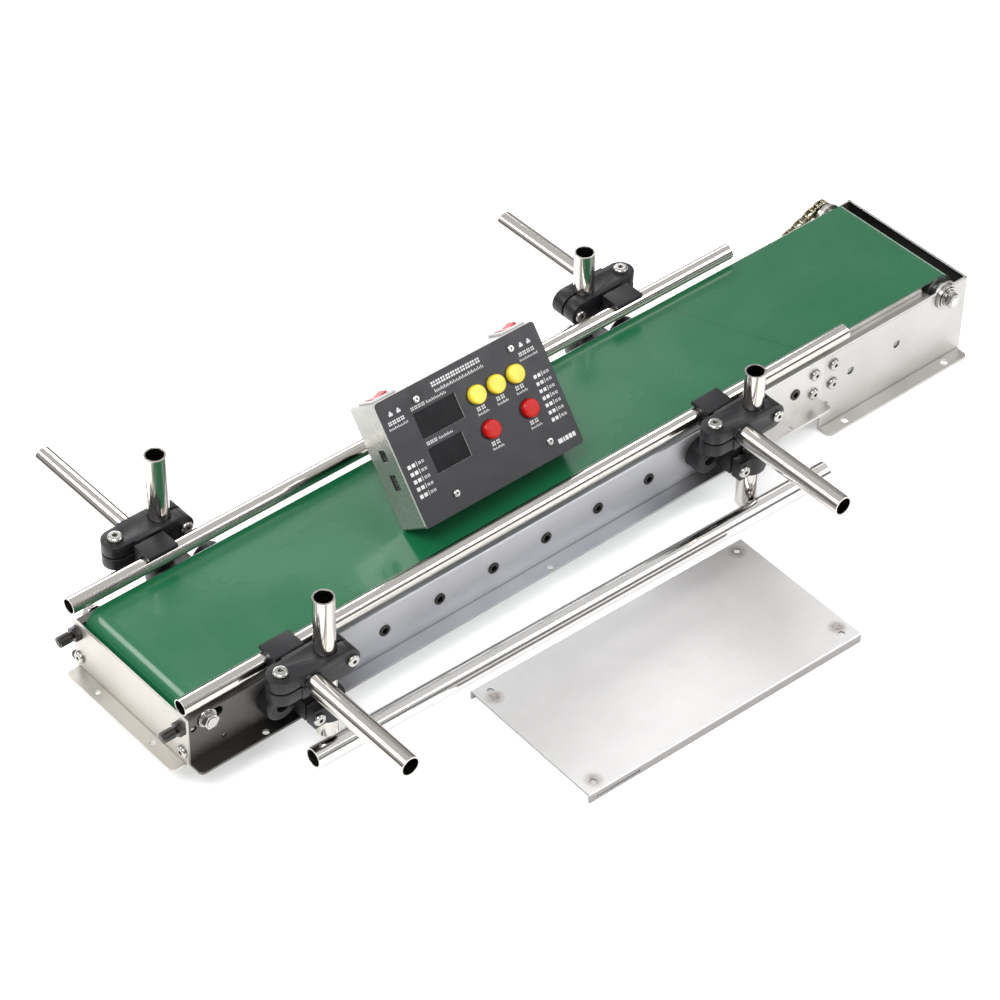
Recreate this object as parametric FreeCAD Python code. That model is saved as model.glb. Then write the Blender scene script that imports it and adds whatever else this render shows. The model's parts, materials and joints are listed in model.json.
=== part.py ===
"""Small belt conveyor section: stainless frame, flat belt, chain drive, guide rails and controller.

Lengths are in millimetres.  The design frame has X along the conveyor from the tail plate,
Y across it from the centre line and Z up from the top edge of the side panels.  Every piece
is moved once, on export, so that the origin lies at the middle of the drive unit's base
bolt pattern, on the floor.
"""
import FreeCAD, Part
import math
import os

V = FreeCAD.Vector

# ---- frame ----
TAIL_LEN = 602.0            # length of the shallow section
DRIVE_LEN = 155.0           # length of the deep drive section
WIDTH = 130.0               # over the side panels
TAIL_DEPTH = 44.0           # shallow side panel height
DRIVE_DEPTH = 72.0          # drive side panel height
SHEET = 2.0                 # panel sheet thickness
BEND = 1.6                  # outer bend radius of folded sheet
TOP_FLANGE = 12.0           # inward top flange
BASE_FLANGE = 12.0          # outward bottom flange
FLANGE_CORNER = 4.0         # rounded corner of a bottom flange
FLANGE_STOP = 40.0          # top flange ends this far before the drive end
# ---- belt and rollers ----
BELT_SIDE = 8.0             # belt edge from the outside of a panel
BELT_T = 1.5
BELT_GAP = 0.3              # clearance between the belt and what it runs on
ROLLER_R = 12.0
AXLE_Z = -6.5
TAIL_NOSE = 3.7             # belt from the tail end of the panels
DRIVE_NOSE = 10.2           # belt from the drive end of the panels
TAIL_AXLE_R = 4.0
TAIL_STUB = 6.6             # tail axle beyond a side panel
DRIVE_SHAFT_R = 4.0
RUN_FIT = 0.05              # radial clearance of a shaft in its bearing
SEAT_GAP = 0.02             # radial clearance of a seated ring
BEARING_R = 9.0
BEARING_FLANGE_R = 11.0
BEARING_FLANGE_T = 3.0
SLOT_LEN = 21.0             # tail axle slot
BED_EDGE = 1.0              # the belt overhangs the slider bed by this much
BED_END_GAP = 4.0           # from a roller's belt to the bed
# ---- chain drive ----
PITCH = 6.35
TEETH = 8
CHAIN_PITCHES = 16          # centre distance in chain pitches
CHAIN_ROLLER_R = 1.65
CHAIN_Y = WIDTH / 2 + 8.0
SPROCKET_T = 2.6
HUB_R = 4.8
MOTOR_DROP = 40.0           # motor shaft below the drive axle
MOTOR_R = 21.0
MOTOR_LEN = 66.0
GEARBOX_LEN = 26.0
MOTOR_SHAFT_R = 4.0
# ---- fasteners ----
SCREW_R = 2.5
HEAD_R = 4.75
HEAD_H = 2.8
HOLE_GAP = 0.15             # radial clearance of a screw in its hole
HOLE_PITCH = 50.0           # accessory holes along the side panels
HOLE_FIRST = 72.0
HOLE_COUNT = 11
HOLE_Z = -20.5
BRACKET_Z = -25.0           # middle of a base bracket's ring
PINCH = 14.5                # base bracket's pinch screw from the post
LOBE_T = 13.0               # base bracket's lobe, with its bolt head sunk in it
TENSION_R = 2.5             # belt tension bolts
TAIL_PLATE_SCREW_Z = -32.0
BASE_HOLE_R = 3.3           # holes that fix the drive unit down
SPLICE_X = 10.0             # splice screws each side of the joint
SPLICE_Z = (-11.5, -30.0)
# ---- guide rails ----
RAIL_R = 6.35
RAIL_BORE_R = 5.5
RAIL_LEN = 624.0
RAIL_START = -3.0
RAIL_INSET = 1.0            # rail from the outside of a panel
RAIL_Z = 15.0
TUBE_R = 8.0                # posts and cross rods
TUBE_BORE_R = 6.7
TUBE_FIT = 0.05             # radial clearance of a tube in its clamp
POST_OUT = 25.0             # post from the outside of a panel
POST_LEN = 125.0
ROD_LEN = 132.0
POST_OFFSET = 28.0          # post from its bracket's bolt
CLAMP_H = 21.0
CLAMP_D = 24.0
CLAMP_LOBE_R = 10.5
ROD_OFFSET = 19.5           # cross rod from the post
LOBE_OFFSET = 18.5          # clamp screw from the cross rod
SIDE_SCREW = 14.0           # level clamp screw from the post
LOBE_SCREW_R = 3.0          # upright clamp screw
CLAMP_SLIT = 1.6
ROD_SOCKET = 4.0            # depth of a cross rod in its rail clip
# side (-1 near, +1 far), bracket hole number, X direction from bolt to post,
# X direction from cross rod to post, post top
STATIONS = (
    (-1, 0, 1, 1, 73.5),
    (-1, 8, 1, 1, 57.0),
    (1, 1, -1, 1, 82.0),
    (1, 9, -1, -1, 61.5),
)
# ---- loose pieces ----
COVER_LEN = 256.0
COVER_FLANGE = 8.0
COVER_T = 1.5
COVER_X = 208.0
COVER_TURN = -1.4           # degrees
COVER_GAP = 11.0            # cover's edge from the spare tube
SPARE_LEN = 483.0
SPARE_X = 82.0
SPARE_TUCK = 9.5            # how far the spare tube's start reaches under the posts
SPARE_TURN = -1.42          # degrees
# ---- controller ----
BOX_W = 147.0
BOX_H = 96.0
BOX_D = 32.0
BOX_WALL = 1.2
FACE_T = 2.0
BOX_TILT = 52.0             # degrees from the belt
BOX_X = 227.5
BOX_Y = -18.3
BUTTON_R = 7.0
BUTTON_RISE = 4.5
BUTTON_GAP = 0.3
BUTTON_PLACES = (
    ("yellow_button_1", 79.5, 68.0), ("yellow_button_2", 97.5, 68.0), ("yellow_button_3", 115.5, 68.0),
    ("red_button_1", 79.5, 41.0), ("red_button_2", 115.5, 41.0),
)
WINDOWS = ((26.0, 57.5, 38.0, 19.5), (26.0, 31.0, 31.0, 19.0))   # corner u, v, width, height
FACE_SCREWS = ((33.0, 12.5), (120.5, 12.5), (33.0, 85.5), (120.5, 85.5))
SIDE_OPENINGS = ((31.0, 43.0), (53.0, 62.0))     # v range of each
ROCKER_U = (14.5, 134.0)    # centres of the two switches
ROCKER_N = 17.0
ROCKER_L = 18.0
ROCKER_W = 13.0
ROCKER_REST = 6.0           # degrees
ROCKER_PIN_R = 1.2

# ---- worked out ----
LENGTH = TAIL_LEN + DRIVE_LEN
HALF = WIDTH / 2
BELT_WIDTH = WIDTH - 2 * BELT_SIDE
RAIL_Y = HALF - RAIL_INSET
POST_Y = HALF + POST_OUT
SPARE_Y = -POST_Y - 2 * TUBE_R + SPARE_TUCK
COVER_Y = SPARE_Y - TUBE_R - COVER_GAP
FLOOR = -DRIVE_DEPTH
BELT_R = ROLLER_R + BELT_GAP + BELT_T
BELT_TOP = AXLE_Z + BELT_R
TAIL_AXLE_X = TAIL_NOSE + BELT_R
DRIVE_AXLE_X = LENGTH - DRIVE_NOSE - BELT_R
CHAIN_R = PITCH / (2 * math.sin(math.pi / TEETH))
CENTRES = CHAIN_PITCHES * PITCH
MOTOR_X = DRIVE_AXLE_X - math.sqrt(CENTRES ** 2 - MOTOR_DROP ** 2)
MOTOR_Z = AXLE_Z - MOTOR_DROP
CHAIN_ANGLE = math.atan2(MOTOR_DROP, DRIVE_AXLE_X - MOTOR_X)
BASE_PATTERN_X = DRIVE_LEN - 45.0
BASE_PATTERN_Y = WIDTH + BASE_FLANGE
ROCKER_PIVOT = BOX_H - 2.0
TENSION_Y = HALF - SHEET - TENSION_R - 0.6
TENSION_Z = AXLE_Z - 2.0
CLIP_BACK = POST_Y - CLAMP_D / 2 - 1.5      # outer end of a rail clip
ORIGIN = V(TAIL_LEN + DRIVE_LEN / 2, 0, FLOOR)
X_AXIS, Y_AXIS, Z_AXIS = V(1, 0, 0), V(0, 1, 0), V(0, 0, 1)


# ---- helpers ----
def box(x, y, z):
    """A block between the two values of each pair."""
    return Part.makeBox(x[1] - x[0], y[1] - y[0], z[1] - z[0], V(x[0], y[0], z[0]))


def rod(radius, start, axis, length):
    return Part.makeCylinder(radius, length, start, axis)


def ring(outer, inner, start, axis, length):
    return rod(outer, start, axis, length).cut(rod(inner, start, axis, length))


def joined(shapes):
    """One solid from pieces that touch."""
    first, *rest = shapes
    return first.fuse(rest).removeSplitter() if rest else first


def group(shapes):
    return Part.makeCompound(shapes)


def mirrored(shape):
    return shape.mirror(V(0, 0, 0), Y_AXIS)


def sided(shape, side):
    """A piece drawn for the near side, put on the near (-1) or far (+1) side."""
    return shape if side < 0 else mirrored(shape)


def rounded(shape, radius, wanted):
    """Fillet the straight edges that wanted(middle, direction) picks."""
    edges = []
    for edge in shape.Edges:
        if edge.Curve.TypeId == "Part::GeomLine":
            ends = [vertex.Point for vertex in edge.Vertexes]
            way = (ends[1] - ends[0]).normalize()
            if wanted((ends[0] + ends[1]) / 2, way):
                edges.append(edge)
    return shape.makeFillet(radius, edges) if edges else shape


def along(axis):
    """Tells whether an edge runs along an axis."""
    return lambda middle, way: abs(way.dot(axis)) > 0.999


def hexagon(across_flats, start, axis, length):
    """A hexagonal prism."""
    radius = across_flats / math.sqrt(3)
    turn = FreeCAD.Rotation(Z_AXIS, axis)
    points = []
    for k in range(7):
        angle = math.radians(60 * k)
        points.append(start + turn.multVec(V(radius * math.cos(angle), radius * math.sin(angle), 0)))
    return Part.Face(Part.makePolygon(points)).extrude(V(axis) * length)


def nut(across_flats, bore, start, axis, length):
    return hexagon(across_flats, start, axis, length).cut(rod(bore, start, axis, length))


def button_screw(seat, axis, shank, radius=SCREW_R):
    """A socket screw whose head stands on the seat point; axis points out of the head."""
    scale = radius / SCREW_R
    head = rod(HEAD_R * scale, seat, axis, HEAD_H * scale)
    rim = [e for e in head.Edges if e.Curve.TypeId == "Part::GeomCircle"
           and (e.Curve.Center - seat).dot(axis) > 1e-6]
    head = head.makeFillet(HEAD_H * scale * 0.55, rim)
    head = head.cut(hexagon(3.0 * scale, seat + axis * HEAD_H * scale * 0.35, axis, HEAD_H * scale))
    return joined([head, rod(radius, seat - axis * shank, axis, shank + 0.2)])


def hole_y(x, z, radius, y, length):
    return rod(radius, V(x, y, z), Y_AXIS, length)


def slot_y(x0, x1, z, radius, y, length):
    """A slot along X, cut across the width."""
    return joined([box((x0, x1), (y, y + length), (z - radius, z + radius)),
                   hole_y(x0, z, radius, y, length), hole_y(x1, z, radius, y, length)])


def round_plate(x, y, z, radius):
    """A flat plate in XY with its four upright edges rounded."""
    return rounded(box(x, y, z), radius, along(Z_AXIS))


# ---- frame ----
def channel(x0, x1, depth, flange_end):
    """Near side panel: web, inward top flange and outward bottom flange, folded from one sheet."""
    inner = -HALF + SHEET
    web = box((x0, x1), (-HALF, inner), (-depth, 0))
    top = box((x0, flange_end), (-HALF, -HALF + TOP_FLANGE), (-SHEET, 0))
    base = box((x0, x1), (-HALF - BASE_FLANGE, inner), (-depth, -depth + SHEET))
    base = rounded(base, FLANGE_CORNER, lambda middle, way: abs(way.z) > 0.999 and middle.y < -HALF)
    shape = joined([web, top, base])

    def bends(middle, way):
        if abs(way.x) < 0.999:
            return False
        top_bend = abs(middle.y + HALF) < 0.01 and abs(middle.z) < 0.01 and middle.x < flange_end
        base_bend = abs(middle.y - inner) < 0.01 and abs(middle.z + depth) < 0.01
        return top_bend or base_bend
    return rounded(shape, BEND, bends)


def tail_panel():
    shape = channel(SHEET, TAIL_LEN, TAIL_DEPTH, TAIL_LEN)
    tab = box((SHEET, 2 * SHEET), (-HALF + SHEET, -HALF + TOP_FLANGE), (-TAIL_DEPTH + 4, -14))
    shape = joined([shape, tab])
    deep = 3 * SHEET
    cuts = [slot_y(TAIL_AXLE_X - 4, TAIL_AXLE_X - 4 + SLOT_LEN - 2 * TAIL_AXLE_R, AXLE_Z,
                   TAIL_AXLE_R + 0.3, -HALF - 1, deep)]
    cuts += [box((0, TAIL_AXLE_X + BELT_R + 2), (-BELT_WIDTH / 2 - 0.6, 0), (-SHEET - 1, 1))]
    cuts += [hole_y(HOLE_FIRST + HOLE_PITCH * k, HOLE_Z, 3.5, -HALF - 1, deep) for k in range(HOLE_COUNT)]
    cuts += [hole_y(TAIL_LEN - SPLICE_X, z, SCREW_R + HOLE_GAP, -HALF - 1, deep) for z in SPLICE_Z]
    cuts += [hole_y(31, -32.5, 1.8, -HALF - 1, deep), hole_y(6, -10.5, 2.6, -HALF - 1, deep)]
    cuts += [rod(SCREW_R + HOLE_GAP, V(0, -HALF + 5.5, TAIL_PLATE_SCREW_Z), X_AXIS, 8)]
    cuts += [rod(SCREW_R + HOLE_GAP, V(x, -HALF + 1 - TOP_FLANGE / 2 - 3, -TAIL_DEPTH - 1), Z_AXIS, 4)
             for x in (60, 320, 560)]
    return shape.cut(cuts)


def drive_panel():
    """Near panel of the drive section, with a round ear about the drive shaft."""
    shape = channel(TAIL_LEN, LENGTH - SHEET, DRIVE_DEPTH, LENGTH - FLANGE_STOP)
    ear = hole_y(DRIVE_AXLE_X, AXLE_Z, BEARING_FLANGE_R + 1, -HALF, SHEET)
    shape = joined([shape, ear])
    deep = 3 * SHEET
    cuts = [hole_y(DRIVE_AXLE_X, AXLE_Z, BEARING_R + SEAT_GAP, -HALF - 1, deep)]
    cuts += [hole_y(TAIL_LEN + SPLICE_X, z, SCREW_R + HOLE_GAP, -HALF - 1, deep) for z in SPLICE_Z]
    cuts += [hole_y(TAIL_LEN + x, -28.5, 3.5, -HALF - 1, deep) for x in (30, 80)]
    centre = TAIL_LEN + DRIVE_LEN / 2
    cuts += [rod(BASE_HOLE_R, V(centre + s * BASE_PATTERN_X / 2, -BASE_PATTERN_Y / 2, FLOOR - 1), Z_AXIS, 4)
             for s in (-1, 1)]
    return shape.cut(cuts)


def far_drive_panel():
    """Far panel: the near one turned over, with an opening for the motor shaft."""
    return mirrored(drive_panel()).cut([hole_y(MOTOR_X, MOTOR_Z, MOTOR_SHAFT_R + 3, HALF - 4, 8)]
                                       + [hole_y(x, z, 1.6, HALF - 4, 8) for x, z in motor_screws()])


def splice_tab():
    """Small tab with a hole, folded out at the foot of the joint."""
    z = -TAIL_DEPTH - 8
    tab = box((TAIL_LEN - 5, TAIL_LEN + 7), (-HALF - SHEET, -HALF), (z - 4, z + 5))
    return tab.cut(hole_y(TAIL_LEN + 1, z, 2.2, -HALF - 3, 4))


def splice_plate():
    plate = box((TAIL_LEN - 18, TAIL_LEN + 18), (-HALF + SHEET, -HALF + SHEET + 2), (-37, -SHEET - 0.5))
    return plate.cut([hole_y(TAIL_LEN + s * SPLICE_X, z, SCREW_R + HOLE_GAP, -HALF, 8)
                      for s in (-1, 1) for z in SPLICE_Z])


def tail_plate():
    plate = box((0, SHEET), (-HALF, HALF), (-TAIL_DEPTH, 0))
    foot = box((-BASE_FLANGE, SHEET), (-HALF + 3, HALF - 3), (-TAIL_DEPTH, -TAIL_DEPTH + SHEET))
    foot = rounded(foot, FLANGE_CORNER, lambda middle, way: abs(way.z) > 0.999 and middle.x < 0)
    shape = joined([plate, foot])
    shape = rounded(shape, BEND, lambda middle, way: abs(way.y) > 0.999
                    and abs(middle.x - SHEET) < 0.01 and abs(middle.z + TAIL_DEPTH) < 0.01)
    cuts = []
    for side in (-1, 1):
        cuts.append(rod(TENSION_R + HOLE_GAP, V(-1, side * TENSION_Y, TENSION_Z), X_AXIS, 5))
        cuts.append(rod(SCREW_R + HOLE_GAP, V(-1, side * (HALF - 5.5), TAIL_PLATE_SCREW_Z), X_AXIS, 5))
        cuts.append(rod(2.2, V(-BASE_FLANGE / 2, side * 32, -TAIL_DEPTH - 1), Z_AXIS, 4))
    return shape.cut(cuts)


def drive_end_plate():
    plate = box((LENGTH - SHEET, LENGTH), (-HALF, HALF), (FLOOR, 0))
    tab = box((LENGTH - 14, LENGTH - SHEET), (-HALF + SHEET, -HALF + 2 * SHEET), (FLOOR + 6, -26))
    cuts = [rod(SCREW_R + HOLE_GAP, V(LENGTH - 4, s * (HALF - 20), FLOOR + 14), X_AXIS, 6) for s in (-1, 1)]
    return joined([plate, tab, mirrored(tab)]).cut(cuts)


def slider_bed():
    """Shallow tray under the upper run; its edges stand on the side panels' top flanges."""
    x = (TAIL_AXLE_X + BELT_R + BED_END_GAP, DRIVE_AXLE_X - BELT_R - BED_END_GAP)
    half = BELT_WIDTH / 2 - BED_EDGE
    top = BELT_TOP - BELT_T - BELT_GAP
    plate = box(x, (-half, half), (top - SHEET, top))
    legs = [box(x, (-half, -half + SHEET), (0, top - SHEET)), box(x, (half - SHEET, half), (0, top - SHEET))]
    return joined([plate] + legs)


def cross_members():
    """Round bars welded between the panels below the return run."""
    places = (150, 350, 550, TAIL_LEN + 98)
    return [rod(5.0, V(x, -HALF + SHEET, -32.5), Y_AXIS, WIDTH - 2 * SHEET) for x in places]


def tail_foot():
    """Folded bridge between the panels that carries the tail at the drive unit's height."""
    x = (90, 130)
    top = -TAIL_DEPTH + SHEET
    bridge = box(x, (-HALF + SHEET, HALF - SHEET), (top, top + SHEET))
    legs = [box(x, (y, y + SHEET), (FLOOR + 5, top)) for y in (-32, 30)]
    soles = [box(x, (y, y + 12), (FLOOR + 3, FLOOR + 5)) for y in (-32, 20)]
    shape = joined([bridge] + legs + soles)
    pads = [rod(8, V(110, y, FLOOR), Z_AXIS, 3) for y in (-26, 26)]
    return group([shape] + pads)


# ---- belt, rollers and axles ----
def stadium(radius):
    """Outline about both roller centres."""
    top, low = AXLE_Z + radius, AXLE_Z - radius
    left, right = TAIL_AXLE_X, DRIVE_AXLE_X
    return Part.Wire([
        Part.makeLine(V(left, 0, top), V(right, 0, top)),
        Part.Arc(V(right, 0, top), V(right + radius, 0, AXLE_Z), V(right, 0, low)).toShape(),
        Part.makeLine(V(right, 0, low), V(left, 0, low)),
        Part.Arc(V(left, 0, low), V(left - radius, 0, AXLE_Z), V(left, 0, top)).toShape(),
    ])


def belt():
    half = BELT_WIDTH / 2
    outer = Part.Face(stadium(BELT_R)).extrude(Y_AXIS * BELT_WIDTH)
    inner = Part.Face(stadium(BELT_R - BELT_T)).extrude(Y_AXIS * BELT_WIDTH)
    shape = outer.cut(inner)
    shape.translate(V(0, -half, 0))
    return shape


def tail_roller():
    half = BELT_WIDTH / 2
    return ring(ROLLER_R, 8.0, V(TAIL_AXLE_X, -half, AXLE_Z), Y_AXIS, BELT_WIDTH)


def tail_bearings():
    half = BELT_WIDTH / 2
    return group([ring(8.0, TAIL_AXLE_R + RUN_FIT, V(TAIL_AXLE_X, y, AXLE_Z), Y_AXIS, 7)
                  for y in (-half, half - 7)])


def tail_axle():
    """Fixed axle through both slots, with a square block that each tension bolt bears on."""
    bar = rod(TAIL_AXLE_R, V(TAIL_AXLE_X, -HALF - TAIL_STUB, AXLE_Z), Y_AXIS, WIDTH + 2 * TAIL_STUB)
    y = BELT_WIDTH / 2 + 0.8
    blocks = [box((TAIL_AXLE_X - 6, TAIL_AXLE_X + 6), (min(s * y, s * (HALF - SHEET - 0.2)),
                  max(s * y, s * (HALF - SHEET - 0.2))), (AXLE_Z - 6, AXLE_Z + 3)) for s in (-1, 1)]
    return joined([bar] + blocks)


def axle_nuts():
    pieces = []
    for side in (-1, 1):
        way = V(0, side, 0)
        at = V(TAIL_AXLE_X, side * HALF, AXLE_Z)
        pieces.append(ring(7.4, TAIL_AXLE_R + 0.02, at, way, 1.0))
        pieces.append(ring(6.4, TAIL_AXLE_R + 0.02, at + way, way, 0.8))
        pieces.append(nut(10.8, TAIL_AXLE_R + 0.02, at + way * 1.8, way, 4.2))
    return group(pieces)


def tension_bolts():
    """Bolts through the tail plate that push the axle blocks, each with a lock nut and an end cap."""
    pieces = []
    for side in (-1, 1):
        start = V(-17, side * TENSION_Y, TENSION_Z)
        end = TAIL_AXLE_X - 6
        pieces.append(rod(TENSION_R, start, X_AXIS, end - start.x))
        pieces.append(nut(10.0, TENSION_R + 0.02, V(-5, start.y, start.z), X_AXIS, 5))
        pieces.append(ring(4.2, TENSION_R + 0.02, V(-16.5, start.y, start.z), X_AXIS, 9))
    return group(pieces)


def drive_bearing():
    at = V(DRIVE_AXLE_X, -HALF, AXLE_Z)
    body = joined([rod(BEARING_R, at, Y_AXIS, SHEET + 4.0),
                   rod(BEARING_FLANGE_R, at - Y_AXIS * BEARING_FLANGE_T, Y_AXIS, BEARING_FLANGE_T)])
    return body.cut(rod(DRIVE_SHAFT_R + RUN_FIT, at - Y_AXIS * 10, Y_AXIS, 30))


def drive_roller():
    half = BELT_WIDTH / 2 - 0.5
    shell = rod(ROLLER_R, V(DRIVE_AXLE_X, -half, AXLE_Z), Y_AXIS, 2 * half)
    near = HALF + BEARING_FLANGE_T + 7.4
    shaft = rod(DRIVE_SHAFT_R, V(DRIVE_AXLE_X, -near, AXLE_Z), Y_AXIS, near + CHAIN_Y + 4)
    return joined([shell, shaft])


def shaft_nut():
    at = V(DRIVE_AXLE_X, -HALF - BEARING_FLANGE_T - 0.2, AXLE_Z)
    washers = [ring(9.0, DRIVE_SHAFT_R + 0.02, at, -Y_AXIS, 1.0),
               ring(7.2, DRIVE_SHAFT_R + 0.02, at - Y_AXIS, -Y_AXIS, 1.2)]
    return group(washers + [nut(11.0, DRIVE_SHAFT_R + 0.02, at - Y_AXIS * 2.2, -Y_AXIS, 4.6)])


# ---- chain drive ----
def sprocket(x, z, bore, hub_r):
    """A sprocket whose gaps hold the chain's rollers at rest."""
    disc = rod(CHAIN_R + 0.5, V(x, CHAIN_Y - SPROCKET_T / 2, z), Y_AXIS, SPROCKET_T)
    seats = []
    for k in range(TEETH):
        angle = math.pi / 2 + CHAIN_ANGLE + 2 * math.pi * k / TEETH
        at = V(x + CHAIN_R * math.cos(angle), CHAIN_Y - SPROCKET_T, z + CHAIN_R * math.sin(angle))
        seats.append(rod(CHAIN_ROLLER_R + 0.5, at, Y_AXIS, 2 * SPROCKET_T))
    disc = disc.cut(seats)
    hub = rod(hub_r, V(x, CHAIN_Y - SPROCKET_T / 2 - 2.5, z), Y_AXIS, 2.6)
    return joined([disc, hub]).cut(rod(bore, V(x, CHAIN_Y - 10, z), Y_AXIS, 20))


def motor_sprocket():
    """The gearbox's output shaft with the driving sprocket on it."""
    shaft = rod(MOTOR_SHAFT_R, V(MOTOR_X, HALF - 20, MOTOR_Z), Y_AXIS, CHAIN_Y + 4 - HALF + 20)
    return group([shaft, sprocket(MOTOR_X, MOTOR_Z, MOTOR_SHAFT_R + 0.02, HUB_R)])


def chain_pins():
    """Centres of the chain's pins, in order round the loop."""
    tilt = CHAIN_ANGLE
    along_x, along_z = math.cos(tilt), math.sin(tilt)
    pins = []
    for k in range(CHAIN_PITCHES):
        x = MOTOR_X + along_x * PITCH * k - along_z * CHAIN_R
        z = MOTOR_Z + along_z * PITCH * k + along_x * CHAIN_R
        pins.append((x, z))
    for k in range(TEETH // 2):
        angle = tilt + math.pi / 2 - 2 * math.pi * k / TEETH
        pins.append((DRIVE_AXLE_X + CHAIN_R * math.cos(angle), AXLE_Z + CHAIN_R * math.sin(angle)))
    for k in range(CHAIN_PITCHES):
        x = DRIVE_AXLE_X - along_x * PITCH * k + along_z * CHAIN_R
        z = AXLE_Z - along_z * PITCH * k - along_x * CHAIN_R
        pins.append((x, z))
    for k in range(TEETH // 2):
        angle = tilt - math.pi / 2 - 2 * math.pi * k / TEETH
        pins.append((MOTOR_X + CHAIN_R * math.cos(angle), MOTOR_Z + CHAIN_R * math.sin(angle)))
    return pins


def link_plate(a, b, y):
    """A flat oval plate between two pins."""
    half_height, thick = 2.5, 0.7
    start, end = V(a[0], y, a[1]), V(b[0], y, b[1])
    way = (end - start).normalize()
    side = way.cross(Y_AXIS) * half_height
    face = Part.Face(Part.makePolygon([start + side, end + side, end - side, start - side, start + side]))
    return joined([face.extrude(Y_AXIS * thick), rod(half_height, start, Y_AXIS, thick),
                   rod(half_height, end, Y_AXIS, thick)])


def drive_chain():
    """Roller chain: inner and outer links by turns, with a pin and roller at each joint."""
    pins = chain_pins()
    pieces = []
    for k, pin in enumerate(pins):
        after = pins[(k + 1) % len(pins)]
        reach = 1.7 if k % 2 else 2.5
        pieces.append(link_plate(pin, after, CHAIN_Y + reach))
        pieces.append(link_plate(pin, after, CHAIN_Y - reach - 0.7))
        pieces.append(rod(CHAIN_ROLLER_R, V(pin[0], CHAIN_Y - 1.65, pin[1]), Y_AXIS, 3.3))
    return group(pieces)


def motor_screws():
    """Places of the four screws that hold the gearbox."""
    return [(MOTOR_X + sx * 14, MOTOR_Z + sz * 14) for sx in (-1, 1) for sz in (-1, 1)]


def motor_bracket():
    """Stiffening plate between the far panel and the gearbox."""
    plate = box((MOTOR_X - 18.5, MOTOR_X + 18.5), (HALF - SHEET - 3, HALF - SHEET), (MOTOR_Z - 22, MOTOR_Z + 22))
    plate = rounded(plate, 4, along(Y_AXIS))
    return plate.cut([hole_y(MOTOR_X, MOTOR_Z, MOTOR_SHAFT_R + 3, HALF - 8, 10)]
                     + [hole_y(x, z, 1.6, HALF - 8, 10) for x, z in motor_screws()])


def gearbox():
    end = HALF - SHEET - 3
    case = hole_y(MOTOR_X, MOTOR_Z, MOTOR_R, end - GEARBOX_LEN, GEARBOX_LEN)
    return case.cut([hole_y(MOTOR_X, MOTOR_Z, MOTOR_SHAFT_R + RUN_FIT, HALF - 20, 20)]
                    + [hole_y(x, z, 1.55, end - 8, 10) for x, z in motor_screws()])


def motor():
    end = HALF - SHEET - 3 - GEARBOX_LEN
    can = hole_y(MOTOR_X, MOTOR_Z, MOTOR_R - 2, end - MOTOR_LEN, MOTOR_LEN)
    cap = hole_y(MOTOR_X, MOTOR_Z, 6, end - MOTOR_LEN - 4, 4)
    return joined([can, cap])


# ---- fasteners on the frame ----
def frame_screws():
    """Socket screws of the splices, the end plates and the motor."""
    screws = []
    for side in (-1, 1):
        out = V(0, side, 0)
        for x in (TAIL_LEN - SPLICE_X, TAIL_LEN + SPLICE_X):
            for z in SPLICE_Z:
                screws.append(button_screw(V(x, side * HALF, z), out, SHEET + 3.5))
        screws.append(button_screw(V(0, side * (HALF - 5.5), TAIL_PLATE_SCREW_Z), -X_AXIS, 6))
        screws.append(button_screw(V(LENGTH, side * (HALF - 20), FLOOR + 14), X_AXIS, 6))
    for x, z in motor_screws():
        screws.append(button_screw(V(x, HALF, z), Y_AXIS, 11, 1.5))
    return group(screws)


def rivet_nuts():
    """Threaded inserts in the accessory holes that carry no bracket."""
    inserts = []
    for side in (-1, 1):
        used = [hole for where, hole, way, cross, top in STATIONS if where == side]
        for k in range(HOLE_COUNT):
            if k in used:
                continue
            at = V(HOLE_FIRST + HOLE_PITCH * k, side * HALF, HOLE_Z)
            out = V(0, side, 0)
            insert = joined([rod(4.6, at, out, 0.8), rod(3.4, at - out * 5.5, out, 5.6)])
            inserts.append(insert.cut(rod(2.5, at - out * 6, out, 8)))
    return group(inserts)


# ---- guide rail stations ----
def hole_x(hole):
    return HOLE_FIRST + HOLE_PITCH * hole


def post_x(hole, way):
    return hole_x(hole) + way * POST_OFFSET


def cross_x(hole, way, cross):
    return post_x(hole, way) - cross * ROD_OFFSET


def stations(side):
    return [s for s in STATIONS if s[0] == side]


def base_bracket(hole, way, cross):
    """Moulded bracket on the near panel: a lobe round its bolt and a split ring round the post."""
    bolt, post = hole_x(hole), post_x(hole, way)
    low, high = BRACKET_Z - 8, BRACKET_Z + 8
    lobe = rod(13, V(bolt, -HALF - LOBE_T, HOLE_Z), Y_AXIS, LOBE_T)
    lobe = lobe.makeFillet(2.5, [e for e in lobe.Edges if e.CenterOfMass.y < -HALF - LOBE_T + 0.01])
    x0, x1 = sorted((bolt, post + way * 6))
    plate = box((x0, x1), (-HALF - 7, -HALF), (low, high))
    web0, web1 = sorted((post - way * 18, post + way * 9))
    web = box((web0, web1), (-POST_Y - 10, -HALF), (low, high))
    collar = rod(13, V(post, -POST_Y, low), Z_AXIS, high - low)
    shape = joined([lobe, plate, web, collar])
    slit0, slit1 = sorted((post - way * 19, post))
    pinch = post - way * PINCH
    cuts = [rod(TUBE_R + TUBE_FIT, V(post, -POST_Y, low - 1), Z_AXIS, high - low + 2),
            box((slit0, slit1), (-POST_Y - 0.8, -POST_Y + 0.8), (low - 1, high + 1)),
            hole_y(pinch, (low + high) / 2, SCREW_R + HOLE_GAP, -POST_Y - 11, 20),
            hole_y(bolt, HOLE_Z, SCREW_R + HOLE_GAP, -HALF - 9, 10),
            hole_y(bolt, HOLE_Z, HEAD_R + 0.6, -HALF - LOBE_T - 1, LOBE_T - 6)]
    return shape.cut(cuts)


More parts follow.
